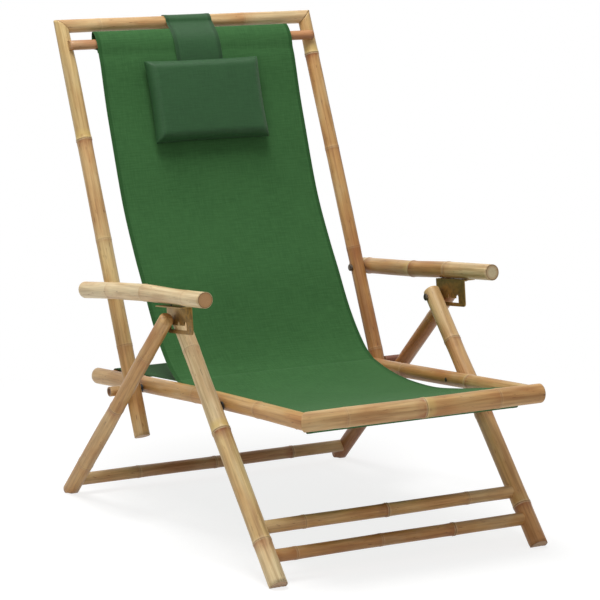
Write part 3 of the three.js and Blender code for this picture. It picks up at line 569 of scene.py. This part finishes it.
def pole_stations(pole, row):
    """Places of the rows along a pole: even ones, and close ones on both sides of each node."""
    close = (pole["nodes"][:, None] + np.array(NODE_ROWS) * MM).ravel()
    even = np.linspace(0, pole["length"], max(int(pole["length"] / row), 4) + 1)
    free = np.abs(even[:, None] - close).min(axis=1) > 0.35 * row
    free[[0, -1]] = True
    close = close[(close > 2 * MM) & (close < pole["length"] - 2 * MM)]
    return np.sort(np.concatenate([even[free], close]))


def end_rings(kind, radius):
    """Rings of an end, from the culm inward: share of the radius, depth, and place on the face."""
    if kind == "dome":
        return [(math.cos(t) * 0.98 + 0.02 * (t < 1.5), DOME_HEIGHT * radius * (math.sin(t) - 1),
                 ON_THE_SIDE) for t in np.linspace(0, math.pi / 2, 8)[1:]]
    if kind == "cut":
        return [(1 - 0.25 * MM / radius, -0.35 * MM, ON_THE_SIDE), (1 - 0.9 * MM / radius, 0.0, 0.99),
                (0.9, 0.0, 0.9), (0.72, -0.15 * MM, 0.72), (0.4, -0.3 * MM, 0.4), (0.02, -0.35 * MM, 0.0)]
    if kind == "mitre":
        return [(1 - 0.45 * MM / radius, -0.2 * MM, 0.99), (0.6, 0.0, 0.8), (0.02, 0.0, 0.5)]
    return [(0.98, 0.0, 0.9), (0.02, 0.0, 0.5)]


def pole_rows(pole, kinds, first, last, row):
    """Rows of a culm from end to end: place along it, share of the radius, and place on a face."""
    begin, stop = [end + side * (DOME_HEIGHT * pole["radius"] if kind == "dome" else 0.0)
                   for end, side, kind in zip((first, last), (1, -1), kinds)]
    places = pole_stations(pole, row)
    inner = (places > max(begin, first + 0.5 * MM)) & (places < min(stop, last - 0.5 * MM))
    head = [(first - depth, share, face) for share, depth, face in end_rings(kinds[0], pole["radius"])]
    tail = [(last + depth, share, face) for share, depth, face in end_rings(kinds[1], pole["radius"])]
    body = [(place, 1.0, ON_THE_SIDE) for place in (begin, *places[inner], stop)]
    return np.array(head[::-1] + body + tail).T


def build_pole(node, settings):
    """A culm: rings round its axis at the radius plus the node profile and small waves, bent a
    little from node to node, with ends that are cut, domed, butted or mitred."""
    tones, kinds, rises, bands = POLES[node]
    pole = pole_of(node)
    nodes, radius, length = pole["nodes"], pole["radius"], pole["length"]
    seed = sum(ord(letter) * (k + 3) for k, letter in enumerate(node))
    rng = np.random.default_rng(seed)
    corners = [corner_of(node, other) if other else None for other in MITRES.get(node, (None, None))]
    out = DRAWN_OUT.get(node, (0.0, 0.0))
    first, last = [((corner[0] - pole["start"]) @ pole["way"] if corner else plain) + side * drawn * MM
                   for corner, plain, side, drawn in zip(corners, (0.0, length), (-1, 1), out)]
    stands, share, face = pole_rows(pole, kinds.split(), first, last, settings.row_mm * MM)

    # Bends in mm at the nodes, straight between them and rounded over 60 mm
    knots = np.concatenate([[0.0], nodes, [length]])
    bends = np.array([0.0, *rises, 0.0]) * MM
    lift = np.mean([np.interp(stands + step * MM, knots, bends) for step in range(-30, 31, 10)], axis=0)
    sways = np.array([0.0, *rng.uniform(-0.3, 0.3, len(nodes)), 0.0]) * MM
    drift = np.interp(stands, knots, sways)
    steps = rng.uniform(-0.12, 0.12, len(nodes) + 1)
    waves = rng.uniform(0, 2 * math.pi, 4)
    buds = rng.uniform(0, 2 * math.pi, len(nodes))

    # Each row's nearest node, its signed distance from it in mm, and the bay that it lies in
    away = (stands[:, None] - nodes) / MM
    nearest = np.abs(away).argmin(axis=1)
    away = away[np.arange(len(stands)), nearest]
    bay = (nodes < stands[:, None]).sum(axis=1)
    shown = np.array(bands, float)[nearest]

    # The wall: rows down, angles across
    around = settings.pole_sides
    angle = np.linspace(0, 2 * math.pi, around, endpoint=False)
    swell = (0.3 + 0.7 * shown) * node_profile(away) + steps[bay] + 0.12 * np.sin(stands * 21 + waves[0])
    oval = 0.16 * np.sin(2 * angle + waves[1] + stands[:, None] * 5) + 0.08 * np.sin(3 * angle + waves[2])
    wall = (radius + MM * (swell[:, None] + oval)) * share[:, None]
    outward, inward, low, high, until = FULLER.get(node, AS_THE_CAD)
    held = 1 - np.clip((stands / length - until) / 0.1, 0, 1)
    tall = 1 + (low + (high - low) * np.clip((stands / length - 0.25) / 0.15, 0, 1) - 1) * held
    facing = np.where(np.cos(angle) * pole["start"][0] < 0, inward, outward)
    wide = 1 + (facing - 1) * held[:, None]
    flat = (np.cos(angle) * wall * wide)[..., None] * pole["across"]
    flat = flat + (np.sin(angle) * wall * tall[:, None])[..., None] * pole["up"]
    along = np.repeat(stands[:, None], around, axis=1)
    for corner, end, trim in zip(corners, (first, last), (MITRE_GAP, -MITRE_GAP)):
        if corner:
            slant = -(flat @ corner[1]) / (pole["way"] @ corner[1])
            reach = 1 - np.minimum(np.abs(stands - end) / (4 * radius), 1.0)
            along = along + (slant + trim) * reach[:, None]
    bent = np.outer(lift, pole["up"]) + np.outer(drift, pole["across"])
    points = pole["start"] + along[..., None] * pole["way"] + flat + bent[:, None]
    points[..., 2] = np.maximum(points[..., 2], LOWEST)
    left_handed = np.cross(pole["across"], pole["up"]) @ pole["way"] < 0
    obj = tube_object("fine_" + node, points, left_handed)

    # Each bay has its own tone, a little warmer towards its end, and meets the next at the node
    palette = np.array([TONES[tone] for tone in tones.split()])
    palette = palette * 0.6 + palette.mean(axis=0) * 0.4
    warm = (stands - knots[bay]) / (knots[bay + 1] - knots[bay])
    turn = (0.5 + 0.5 * np.clip(away / 9.0, -1, 1))[:, None]
    met = palette[nearest] * (1 - turn) * 1.03 + palette[nearest + 1] * turn * 0.97
    tint = np.where(np.abs(away)[:, None] < 12, met, palette[bay] * (0.97 + 0.06 * warm)[:, None])
    aside = (angle - buds[nearest][:, None] + math.pi) % (2 * math.pi) - math.pi
    bud = np.exp(-((away[:, None] - 5.5) / 2.6) ** 2 - (aside * radius / (2.4 * MM)) ** 2)
    band = np.zeros(len(stands)) if "crossbar" in node else np.maximum(2.5 * (shown - 0.6), 0.0)
    write_values(
        obj, node_gap=np.minimum(np.abs(away), 40.0), node_side=away >= 0, face=face, tint=tint,
        core=linear(CORES.get(node, PLAIN_CORE)), stain=0.15 + 0.85 * shown, band=band,
        scar=0.6 * bud * (0.3 + 0.7 * shown)[:, None],
        grain=stacked(np.cos(angle) * radius, np.sin(angle) * radius, along + seed % 97))
    finish_piece(obj, node)


def build_peg(node, settings):
    """A short hollow peg: rings out along its side, round its lip and into its bore."""
    points = node_points(node)
    lo, hi = points.min(axis=0), points.max(axis=0)
    radius = (hi[2] - lo[2]) / 2
    middle = (lo + hi) / 2
    side = 1.0 if middle[0] > 0 else -1.0
    inner, outer = (lo[0], hi[0]) if side > 0 else (hi[0], lo[0])
    bore = PEG_BORE * radius
    depth = abs(outer - inner)
    # Place along X, radius, and place on a face
    rows = [(inner, bore, 0.7), (inner, radius * 0.97, 0.95),
            (inner + side * 0.5 * MM, radius, ON_THE_SIDE)]
    rows += [(inner + side * depth * t, radius, ON_THE_SIDE) for t in (0.25, 0.5, 0.75)]
    rows += [
        (outer - side * 0.7 * MM, radius, ON_THE_SIDE), (outer, radius * 0.95, 0.95),
        (outer, bore * 1.06, 0.72), (outer - side * 0.8 * MM, bore, 0.3),
        (outer - side * 6 * MM, bore * 0.96, 0.1), (outer - side * 6.3 * MM, 0.03 * MM, 0.0)]
    x, reach, face = np.array(rows).T
    angle = np.linspace(0, 2 * math.pi, settings.pole_sides, endpoint=False)
    wall = np.outer(reach, 1 + 0.02 * np.sin(3 * angle + 1.0))
    points = stacked(x[:, None], middle[1] + np.cos(angle) * wall, middle[2] + np.sin(angle) * wall)
    obj = tube_object("fine_" + node, points, side < 0)
    # The bore takes the core colour, painted dark as the shade inside the hole.
    write_values(
        obj, face=face, tint=TONES["sand"] if side < 0 else linear(PEG_DARK), core=linear(PEG_CORE_AND_BORE_SHADE),
        node_gap=40.0, node_side=0.0, stain=0.0, band=0.0, scar=0.0,
        grain=stacked(np.cos(angle) * radius, np.sin(angle) * radius, x[:, None]))
    finish_piece(obj, node)


# Fittings

def slim(points, node):
    """Draws a washer or nut in towards the X axis through its middle, and its height as asked."""
    for word, (wide, high) in SLIMMED.items():
        if node.startswith(word):
            middle = (points.min(axis=0) + points.max(axis=0)) / 2
            points[:, 1:] = middle[1:] + (points[:, 1:] - middle[1:]) * wide
            side = np.sign(middle[0])
            edge = side * points[:, 0]
            nut = edge.min() + NUT_HEIGHT
            points[:, 0] = side * np.where(edge < nut, nut - (nut - edge) * high, edge)
    return points


def build_fitting(node, bevel):
    """A fitting of plate or turned steel: the CAD solid's own faces, joined and flattened, with
    its edges rounded over."""
    mesh = bpy.data.meshes.new("fine_" + node)
    work = bmesh.new()
    work.from_mesh(frame["nodes"][node].data)
    bmesh.ops.remove_doubles(work, verts=work.verts, dist=0.02 * MM)
    bmesh.ops.dissolve_limit(work, angle_limit=math.radians(1.0), verts=work.verts, edges=work.edges)
    bmesh.ops.recalc_face_normals(work, faces=work.faces)
    work.to_mesh(mesh)
    work.free()
    corners = np.empty(3 * len(mesh.vertices))
    mesh.vertices.foreach_get("co", corners)
    mesh.vertices.foreach_set("co", slim(corners.reshape(-1, 3), node).ravel())
    mesh.update()
    mesh.materials.clear()
    mesh.polygons.foreach_set("use_smooth", [True] * len(mesh.polygons))
    mesh.set_sharp_from_angle(angle=math.radians(35))
    obj = placed(mesh)
    rounded = obj.modifiers.new("rounded edges", "BEVEL")
    rounded.width = bevel
    rounded.segments = 2
    rounded.limit_method = "ANGLE"
    rounded.angle_limit = math.radians(40)
    rounded.harden_normals = True
    finish_piece(obj, node)


# Cloth

def smooth_path(knots, step):
    """Centripetal Catmull-Rom curve through knots, with points about one step apart: each span is
    blended three times from straight lines, by roots of the distances between its four knots."""
    knots = np.asarray(knots, float)
    ends = [2 * knots[0] - knots[1], *knots, 2 * knots[-1] - knots[-2]]
    out = []
    for p0, p1, p2, p3 in zip(ends[:-3], ends[1:-2], ends[2:-1], ends[3:]):
        roots = [np.linalg.norm(chord) ** 0.5 for chord in (p1 - p0, p2 - p1, p3 - p2)]
        t0, t1, t2, t3 = np.cumsum([0.0, *roots])
        count = max(int(np.linalg.norm(p2 - p1) / step), 1)
        t = np.linspace(t1, t2, count, endpoint=False)[:, None]
        mix = lambda a, b, low, high: (high - t) / (high - low) * a + (t - low) / (high - low) * b
        a1, a2, a3 = mix(p0, p1, t0, t1), mix(p1, p2, t1, t2), mix(p2, p3, t2, t3)
        out.append(mix(mix(a1, a2, t0, t2), mix(a2, a3, t1, t3), t1, t2))
    return np.concatenate([*out, knots[-1:]])


def way_along(path):
    """Distance of each point of a path from its first one, along the path."""
    return np.concatenate([[0.0], np.cumsum(np.linalg.norm(np.diff(path, axis=0), axis=1))])


def hem_radius():
    """From a sling bar's axis to the middle of the cloth's thickness round it."""
    chair = bpy.context.scene.recliner
    return chair.sling_bar_radius + chair.cloth_thickness / 2 + 0.6 * MM


def hem_path(centre, away, top, flap, loose=0.0, drop=0.0):
    """Pocket hem in the side view: a flap under the sheet, round the bar and up to its top side.
    away points along the sheet that leaves, top to the side where it leaves. loose is how far, in
    mm, the pocket stands off the bar on the side away from the sheet, drop how far it hangs below."""
    radius = hem_radius()
    turn = np.radians(np.linspace(-58, -270, 26))
    wide = radius + loose * MM * np.maximum(0.0, -np.cos(turn)) ** 1.2
    high = radius + drop * MM * np.maximum(0.0, -np.sin(turn)) ** 1.5
    ring = centre + np.outer(np.cos(turn) * wide, away) + np.outer(np.sin(turn) * high, top)
    tail = [centre + away * flap * MM + top * (radius - 5.5 * MM),
            centre + away * (flap - 7) * MM + top * (radius - 6.0 * MM),
            centre + away * (0.5 * radius + 0.35 * (flap * MM - radius)) - top * 0.25 * radius]
    return np.concatenate([tail, ring])


def side_normals(path):
    """Unit normals of a side-view path, a quarter turn left of its direction."""
    way = np.gradient(path, axis=0)
    way = way / np.linalg.norm(way, axis=1)[:, None]
    return np.column_stack([-way[:, 1], way[:, 0]])


def build_sheet(name, node, path, half, lift, seams=(), thick=None, columns=61, hem=12.0,
                hem_step=0.55, rides=True):
    """A closed sheet of cloth: a side-view path carried across in x, with thicker folded edges,
    small lifts by a function of x and of the way along, and values for its weave and stitches.
    Returns the piece and its length along the path."""
    thick = thick or bpy.context.scene.recliner.cloth_thickness
    lengths = way_along(path)
    band = hem * MM / half
    extra = [side * (1 - band * k) for side in (-1, 1) for k in (0.0, 0.03, 0.96, 1.0, 1.05, 1.12)]
    x = np.unique(np.round([*np.linspace(-1, 1, columns), *extra], 6)) * half
    rows, count = len(path), len(x)
    edge = (half - np.abs(x)) / MM
    folded = np.clip((hem + 0.3 - edge) / 0.6, 0, 1) * hem_step * MM
    depth = (thick + folded) / 2 * (0.25 + 0.75 * np.sqrt(np.clip(edge / 0.5, 0, 1)))
    rise = lift(x, lengths[:, None])
    normals = side_normals(path)[:, None]
    layers = [path[:, None] + normals * (rise + side * depth)[..., None] for side in (1, -1)]
    points = np.column_stack([np.tile(x, 2 * rows), np.concatenate(layers).reshape(-1, 2)])
    # Upper layer, lower layer, and a wall round their rim
    grid = np.arange(rows * count).reshape(rows, count)
    rim = np.concatenate([grid[0], grid[1:, -1], grid[-1, -2::-1], grid[-2:0:-1, 0]])
    after = np.roll(rim, -1)
    upper = grid_faces(rows, count, False)
    wall = np.column_stack([rim, grid.size + rim, grid.size + after, after])
    faces = np.concatenate([upper, grid.size + upper[:, ::-1], wall])[:, ::-1]
    obj = mesh_object(name, points, faces.tolist())
    obj.data.set_sharp_from_angle(angle=math.radians(50))
    place = stacked(x / MM, lengths[:, None] / MM, 0.0)
    seam = np.min([np.full(rows, 50.0), *[np.abs(lengths / MM - stop) for stop in seams]], axis=0)
    write_values(obj, weave=np.stack([place, place + (0, 0, 40.0)]), edge_mm=np.tile(edge, 2 * rows),
                 seam_mm=np.tile(seam, 2))
    finish_piece(obj, node, rides)
    return obj, float(lengths[-1])


def rail_point(share, up):
    """A point in the side view: share of the rails' span back from their bolts, and mm up."""
    return RAIL_FOOT + RAIL_BACK * RAIL_SPAN_MM * share * MM + RAIL_UP * up * MM


def back_point(share, ahead):
    """A point in the side view: share of the back's reach up from its pivot, and mm ahead."""
    return BACK_FOOT + BACK_UP * BACK_REACH_MM * share * MM + BACK_AHEAD * ahead * MM


def side_point(point):
    """A side-view point as plain numbers, in the middle plane."""
    return (0.0, *[float(v) for v in point])


def bar_centre(node):
    """Side-view place of a bar that lies along X."""
    return pole_of(node)["start"][1:]


def build_seat(chair):
    """The seat: a hem round the front bar, the sagging sheet to the crease, and the tail with a
    hem round the rear bar. Its lifts in mm are a curl at the sides, a sag between them with a slow
    wave, and ripples beside the front hem."""
    half = chair.cloth_half_width
    crease = rail_point(*CREASE)
    lead = hem_path(bar_centre("front_sling_bar"), RAIL_BACK, RAIL_UP, 26, drop=8.0)
    seat = [rail_point(*knot) for knot in SEAT_KNOTS]
    sheet = smooth_path([lead[-1], *seat, crease], chair.cloth_step)
    end = hem_path(bar_centre("rear_sling_bar"), -RAIL_BACK, RAIL_UP, 26)[::-1]
    tail = smooth_path([crease, end[0]], chair.cloth_step)
    path = np.concatenate([lead[:-1], sheet[:-1], tail[:-1], end])
    stops = way_along(path) / MM
    hem_end = stops[len(lead) - 1]
    crease_at = stops[len(lead) + len(sheet) - 2]
    seams = (hem_end + 24, stops[len(path) - len(end)] - 24, 2.0)

    def lift(x, s):
        v = s / MM
        far = np.clip((v - hem_end - 10) / 60, 0, 1) * np.clip((crease_at - 6 - v) / 70, 0, 1)
        curl = 0.9 * (np.abs(x) / half) ** 6
        ripple = 0.25 * np.sin(x * 55 + 1.2) * np.exp(-((v - hem_end - 20) / 28) ** 2)
        dip = -1.6 * (1 - (x / half) ** 2) + 0.5 * np.sin(x * 13 + s * 9)
        return MM * far * (curl + dip) + MM * ripple * (v > hem_end + 2)

    obj, length = build_sheet("seat_cloth", "sling_seat", path, half, lift, seams)


def build_back(chair):
    """The back: a loose hem round the upper bar and the cloth down to its lowest knot, then a strip
    to the crease. The lifts in mm are a curl at the sides, a belly with a slow wave, and pleats and
    drawn corners below the hem."""
    half = chair.cloth_half_width
    bar = bar_centre("back_sling_bar")
    top = hem_path(bar, -BACK_UP, BACK_AHEAD, 22, loose=15.0)
    over = bar - BACK_UP * 13 * MM + BACK_AHEAD * (hem_radius() - 0.4 * MM)
    pinch = bar - BACK_UP * 27 * MM + BACK_AHEAD * (hem_radius() - 3.2 * MM)
    knots = [back_point(*knot) for knot in BACK_KNOTS]
    crease = rail_point(*CREASE) + (0.0, 0.1 * MM)
    whole = smooth_path([top[-1], over, pinch, *knots, back_point(*BACK_LOW), crease],
                        0.75 * chair.cloth_step)
    split = int(np.argmin(np.linalg.norm(whole - knots[-1], axis=1)))
    upper = np.concatenate([top[:-1], whole[:split + 1]])
    lower = whole[split:]
    stops = way_along(upper) / MM
    hem_end, full = stops[len(top) - 1], stops[-1]

    def lift(x, s):
        v = s / MM
        on = np.clip((v - hem_end - 6) / 60, 0, 1) * np.clip((full - v) / 120, 0, 1)
        curl = 1.2 * (np.abs(x) / half) ** 6
        belly = -2.2 * (1 - (x / half) ** 2) + 0.8 * np.sin(x * 9 + v * 0.006 + 0.6) * np.sin(v * 0.011)
        folds = np.exp(-((v - hem_end - 24) / 34) ** 2) * (v > hem_end + 1)
        pleat = 0.3 * np.sin(x * 62 + 0.4) * (0.6 + 0.4 * np.sin(x * 23)) * folds
        corner = 0.9 * np.exp(-((np.abs(x) - half + 0.03) / 0.022) ** 2)
        corner = corner * np.exp(-((v - hem_end - 40) / 40) ** 2)
        return MM * (on * (curl + belly) + pleat + corner * on)

    seam, crease = side_point(upper[-1]), side_point(lower[-1])
    obj, length = build_sheet("back_cloth", "sling_back", upper, half, lift, rides=False)
    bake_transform(obj)

    strip, length = build_sheet("back_cloth_low", "sling_bend", lower, half, lambda x, s: 0.0 * x,
                                rides=False)
    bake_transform(strip)


# Headrest

def pillow_plane():
    """Lowest and highest points of the CAD pillow's flat back, in the side view: of its corners
    within 12 mm of either end, those nearest the back."""
    side = node_points("headrest_pillow")[:, 1:]
    depth = (side - BACK_FOOT) @ BACK_AHEAD
    along = (side - BACK_FOOT) @ BACK_UP
    return [side[np.where(near, depth, np.inf).argmin()]
            for near in (along < along.min() + 12 * MM, along > along.max() - 12 * MM)]


def build_pillow(chair):
    """A closed padded form on a grid of u and v from -1 to 1: its sides are drawn in between the
    corners, its front rises from a seam along a rounded arch from each edge, with wrinkles by the
    seam and at the corners, and its back runs flat onto the cloth. Returns the pillow's top edge
    and its directions up and ahead."""
    base_low, base_high = pillow_plane()
    way = unit(base_high - base_low)
    front = np.array([-way[1], way[0]])
    middle = (base_low + base_high) / 2 + way * 9 * MM
    half_width = chair.pillow_width / 2
    half_height = np.linalg.norm(base_high - base_low) / 2 - 2.5 * MM
    cols, rows = 73, 57
    u, v = np.meshgrid(np.sin(np.linspace(-math.pi / 2, math.pi / 2, cols)),
                       np.sin(np.linspace(-math.pi / 2, math.pi / 2, rows)))
    pull = 1.02 + 0.012 * u ** 4 * v ** 4 - 0.016 * (1 - u ** 2 * v ** 2)
    px, ps = u * half_width * pull - 4 * MM, v * half_height * pull
    side_gap, end_gap = (1 - np.abs(u)) * half_width / MM, (1 - np.abs(v)) * half_height / MM
    gap = np.minimum(side_gap, end_gap)
    # Rise of the arches over the first 20 mm from the sides and from the ends
    arches = [(1 - (1 - np.clip(far / 20, 0, 1)) ** 2.0) ** (1 / 1.8) for far in (side_gap, end_gap)]
    rise = np.minimum(*arches) ** 0.5 * (arches[0] * arches[1]) ** 0.5
    crown = 0.9 + 0.1 * (1 - u ** 2) * (1 - v ** 2)
    wrinkle = 0.5 * np.sin(px * 95 + 3 * v) * np.exp(-(gap / 16) ** 2) * (gap > 0.5)
    corner = np.exp(-((np.abs(u) - 0.82) / 0.15) ** 2 - ((np.abs(v) - 0.8) / 0.2) ** 2)
    wrinkle = wrinkle + 0.6 * np.sin((px + ps) * 60) * corner
    seam = 12 * MM
    top = seam + (chair.pillow_thickness - seam) * rise * crown + MM * wrinkle
    flat = seam - (seam - 0.2 * MM) * np.clip(gap / 24, 0, 1) ** 0.7
    layers = [middle + ps[..., None] * way + height[..., None] * front for height in (top, flat)]
    points = np.column_stack([np.tile(px.ravel(), 2), np.concatenate(layers).reshape(-1, 2)])
    quads = grid_faces(rows, cols, False)
    obj = mesh_object("pillow", points, np.concatenate([quads, px.size + quads[:, ::-1]]).tolist())
    place = stacked(px / MM, ps / MM, 0.0)
    write_values(obj, weave=np.stack([place, place]), edge_mm=np.stack([gap, gap]) + 14, seam_mm=50.0)
    join_seam(obj)
    finish_piece(obj, "headrest_pillow")
    return middle + way * half_height, way, front


def join_seam(obj):
    """Merges the front and back sheets of the pillow along their shared rim."""
    work = bmesh.new()
    work.from_mesh(obj.data)
    bmesh.ops.remove_doubles(work, verts=work.verts, dist=0.01 * MM)
    bmesh.ops.recalc_face_normals(work, faces=work.faces)
    work.to_mesh(obj.data)
    work.free()


def build_strap(chair, pillow_top, way, front):
    """The strap: up from the pillow's top edge, over the hem, half round the top bar, and down
    behind it with a slight bow."""
    bar = pole_of("top_bar")
    radius = bar["radius"] + 1.4 * MM
    turn = np.radians(np.linspace(172, 0, 22))
    loop = bar["start"][1:] + radius * np.column_stack([np.cos(turn), np.sin(turn)])
    start = pillow_top + front * 1.4 * MM - way * 12.0 * MM
    over = bar_centre("back_sling_bar") + BACK_AHEAD * 14.6 * MM
    rise = smooth_path([start, over, loop[0]], 6 * MM)[:-1]
    end = np.array([loop[-1][0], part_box("headrest_strap")[0][2] + 0.5 * MM])
    t = np.linspace(0, 1, 16)[1:]
    drop = loop[-1] + np.outer(t, end - loop[-1])
    drop[:, 0] += 1.2 * MM * np.sin(math.pi * t)
    half = chair.strap_width / 2
    obj, length = build_sheet(
        "pillow_strap", "headrest_strap", np.concatenate([rise, loop, drop]), half,
        lambda x, s: MM * (0.5 * (np.abs(x) / half) ** 4 - 0.3),
        thick=1.1 * MM, columns=25, hem=9.0, hem_step=0.4)


# Settings and operators

def length_property(label, note, default, precision=4):
    """A length in metres that the panel shows with its unit."""
    return bpy.props.FloatProperty(
        name=label, description=note, default=default, precision=precision, unit="LENGTH")


def colour_property(label, note, text):
    """A colour in the panel, from sRGB hex."""
    return bpy.props.FloatVectorProperty(
        name=label, description=note, default=linear(text), subtype="COLOR", min=0.0, max=1.0)


class RECLINER_PG_settings(bpy.types.PropertyGroup):
    """Sizes, counts and colours of the dressed pieces."""
    pole_sides: bpy.props.IntProperty(
        name="Sides of a pole", description="Points round each culm", default=44, min=16, max=96)
    row_mm: bpy.props.FloatProperty(
        name="Rows along a pole (mm)", description="Distance between a culm's rows away from its nodes",
        default=9.0, min=3.0, max=40.0)
    fitting_bevel: length_property(
        "Rounding of fittings", "Width of the rounding on the edges of bolts and plates", 0.0003, 5)
    sling_bar_radius: length_property(
        "Sling bar radius", "Radius of the bars that the cloth's hems go round", 0.011)
    cloth_half_width: length_property("Half width of the cloth", "From the middle to an edge", 0.232)
    cloth_thickness: length_property("Cloth thickness", "One layer of the canvas", 0.0014, 5)
    cloth_step: length_property("Rows along the cloth", "Distance between the cloth's rows", 0.008)
    strap_width: length_property("Strap width", "Across the strap over the top bar", 0.109)
    pillow_width: length_property("Pillow width", "Across the headrest pillow", 0.26)
    pillow_thickness: length_property("Pillow thickness", "At the pillow's middle", 0.036)
    cloth_colour: colour_property("Cloth", "Green of the sling", "#386636")
    cloth_worn_colour: colour_property("Worn cloth", "Green where the sling has faded", "#406F3D")
    pillow_colour: colour_property("Pillow", "Green of the pillow and its strap", "#29512D")
    pillow_worn_colour: colour_property("Worn pillow", "Green where the pillow has faded", "#2F5932")
    sun_strength: bpy.props.FloatProperty(
        name="Key light", description="Watts of the overhead light", default=121.0)
    sky_strength: bpy.props.FloatProperty(
        name="Sky light", description="Strength of the world's light on the object", default=0.28)


class RECLINER_OT_poles(bpy.types.Operator):
    """Build the bamboo poles, bars and pegs."""
    bl_idname = "recliner.poles"
    bl_label = "Bamboo poles"

    def execute(self, context):
        for node in POLES:
            build_pole(node, context.scene.recliner)
        for side in ("left", "right"):
            build_peg("pivot_peg_" + side, context.scene.recliner)
        return {"FINISHED"}


class RECLINER_OT_fittings(bpy.types.Operator):
    """Build the bolts, nuts, washers, screws and notched plates."""
    bl_idname = "recliner.fittings"
    bl_label = "Metal fittings"

    def execute(self, context):
        for node, slot in SLOT_OF.items():
            if slot in METALS:
                build_fitting(node, context.scene.recliner.fitting_bevel)
        return {"FINISHED"}


class RECLINER_OT_seat(bpy.types.Operator):
    """Build the seat cloth with its two pocket hems and the tail behind the crease."""
    bl_idname = "recliner.seat"
    bl_label = "Seat cloth"

    def execute(self, context):
        build_seat(context.scene.recliner)
        return {"FINISHED"}


class RECLINER_OT_back(bpy.types.Operator):
    """Build the back cloth, and the strip that joins it to the seat at the crease."""
    bl_idname = "recliner.back"
    bl_label = "Back cloth"

    def execute(self, context):
        build_back(context.scene.recliner)
        return {"FINISHED"}


class RECLINER_OT_headrest(bpy.types.Operator):
    """Build the pillow and the strap that carries it over the top bar."""
    bl_idname = "recliner.headrest"
    bl_label = "Headrest"

    def execute(self, context):
        chair = context.scene.recliner
        build_strap(chair, *build_pillow(chair))
        return {"FINISHED"}


# Stage

def show_white(tree, lit, white, out):
    """Gives the camera's rays, and those through a gloss or a glass, the second shader, and all
    other rays the first."""
    path = add(tree, "LightPath").node.outputs
    seen = add(tree, "Math MAXIMUM", path["Is Camera Ray"], path["Is Glossy Ray"])
    seen = add(tree, "Math MAXIMUM", seen, path["Is Transmission Ray"])
    add(tree, out, add(tree, "MixShader", seen, lit, white))


def build_floor():
    """A white floor: seen directly it glows white, and near the object it glows less and takes
    light instead, so that the soft shadow shows."""
    floor = mesh_object("floor", [(-6, -6, 0), (6, -6, 0), (6, 8, 0), (-6, 8, 0)], [(0, 1, 2, 3)])
    floor.location.z = -0.4 * MM
    material, tree = new_material("white floor")
    reach = add(tree, "VectorMath LENGTH", add(tree, "TexCoord", out="Object"))
    far = add(tree, "Math SUBTRACT", reach, SHADOW_REACH)
    shadow = add(tree, "ValToRGB", far, stops=((0.0, 0.3), (SHADOW_FADE, 0.0)))
    glow = add(tree, "ValToRGB", far, stops=((0.0, 0.8), (SHADOW_FADE, 1.0)))
    white = add(tree, "AddShader", add(tree, "BsdfDiffuse", shadow), add(tree, "Emission", glow, 1.0))
    show_white(tree, add(tree, "BsdfDiffuse", (0.85, 0.85, 0.85, 1)), white, "OutputMaterial")
    floor.data.materials.append(material)


class RECLINER_OT_stage(bpy.types.Operator):
    """Build the white floor, the soft lights and the camera."""
    bl_idname = "recliner.stage"
    bl_label = "Stage"

    def execute(self, context):
        scene = context.scene
        chair = scene.recliner
        scene.view_settings.view_transform = "Standard"
        build_floor()

        scene.world = bpy.data.worlds.new("studio")
        scene.world.use_nodes = True
        tree = scene.world.node_tree
        tree.nodes.clear()
        sky = add(tree, "Background", (1.0, 0.99, 0.97, 1), chair.sky_strength)
        show_white(tree, sky, add(tree, "Background", (1, 1, 1, 1), 1.0), "OutputWorld")

        for name, (place, target, size, share) in LIGHTS.items():
            light = bpy.data.lights.new(name, "AREA")
            light.energy = chair.sun_strength * share
            light.size = size
            lamp = placed(light)
            lamp.location = place
            lamp.rotation_euler = (Vector(target) - Vector(place)).to_track_quat("-Z", "Y").to_euler()

        camera = bpy.data.cameras.new("camera")
        camera.lens = CAMERA_LENS_MM
        camera.sensor_width = CAMERA_SENSOR_MM
        camera.clip_end = 50
        scene.camera = placed(camera)
        scene.camera.location = CAMERA_PLACE
        scene.camera.rotation_euler = [math.radians(turn) for turn in CAMERA_TURN]
        return {"FINISHED"}


class RECLINER_PT_panel(bpy.types.Panel):
    """Sidebar panel with the sizes and one button for each group of pieces."""
    bl_idname = "RECLINER_PT_panel"
    bl_label = "Bamboo Recliner"
    bl_space_type = "VIEW_3D"
    bl_region_type = "UI"
    bl_category = "Recliner"

    def draw(self, context):
        chair = context.scene.recliner
        for name in RECLINER_PG_settings.__annotations__:
            self.layout.prop(chair, name)
        for operator in OPERATORS:
            self.layout.operator(operator.bl_idname)


OPERATORS = (
    RECLINER_OT_poles,
    RECLINER_OT_fittings,
    RECLINER_OT_seat,
    RECLINER_OT_back,
    RECLINER_OT_headrest,
    RECLINER_OT_stage,
)
CLASSES = (RECLINER_PG_settings, *OPERATORS, RECLINER_PT_panel)


def register():
    for item in CLASSES:
        bpy.utils.register_class(item)
    bpy.types.Scene.recliner = bpy.props.PointerProperty(type=RECLINER_PG_settings)


def unregister():
    del bpy.types.Scene.recliner
    for item in reversed(CLASSES):
        bpy.utils.unregister_class(item)


def main():
    """Builds every piece."""
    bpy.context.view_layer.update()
    register()
    bpy.ops.recliner.poles()
    bpy.ops.recliner.fittings()
    bpy.ops.recliner.seat()
    bpy.ops.recliner.back()
    bpy.ops.recliner.headrest()
    bpy.ops.recliner.stage()


if __name__ == "__main__":
    main()
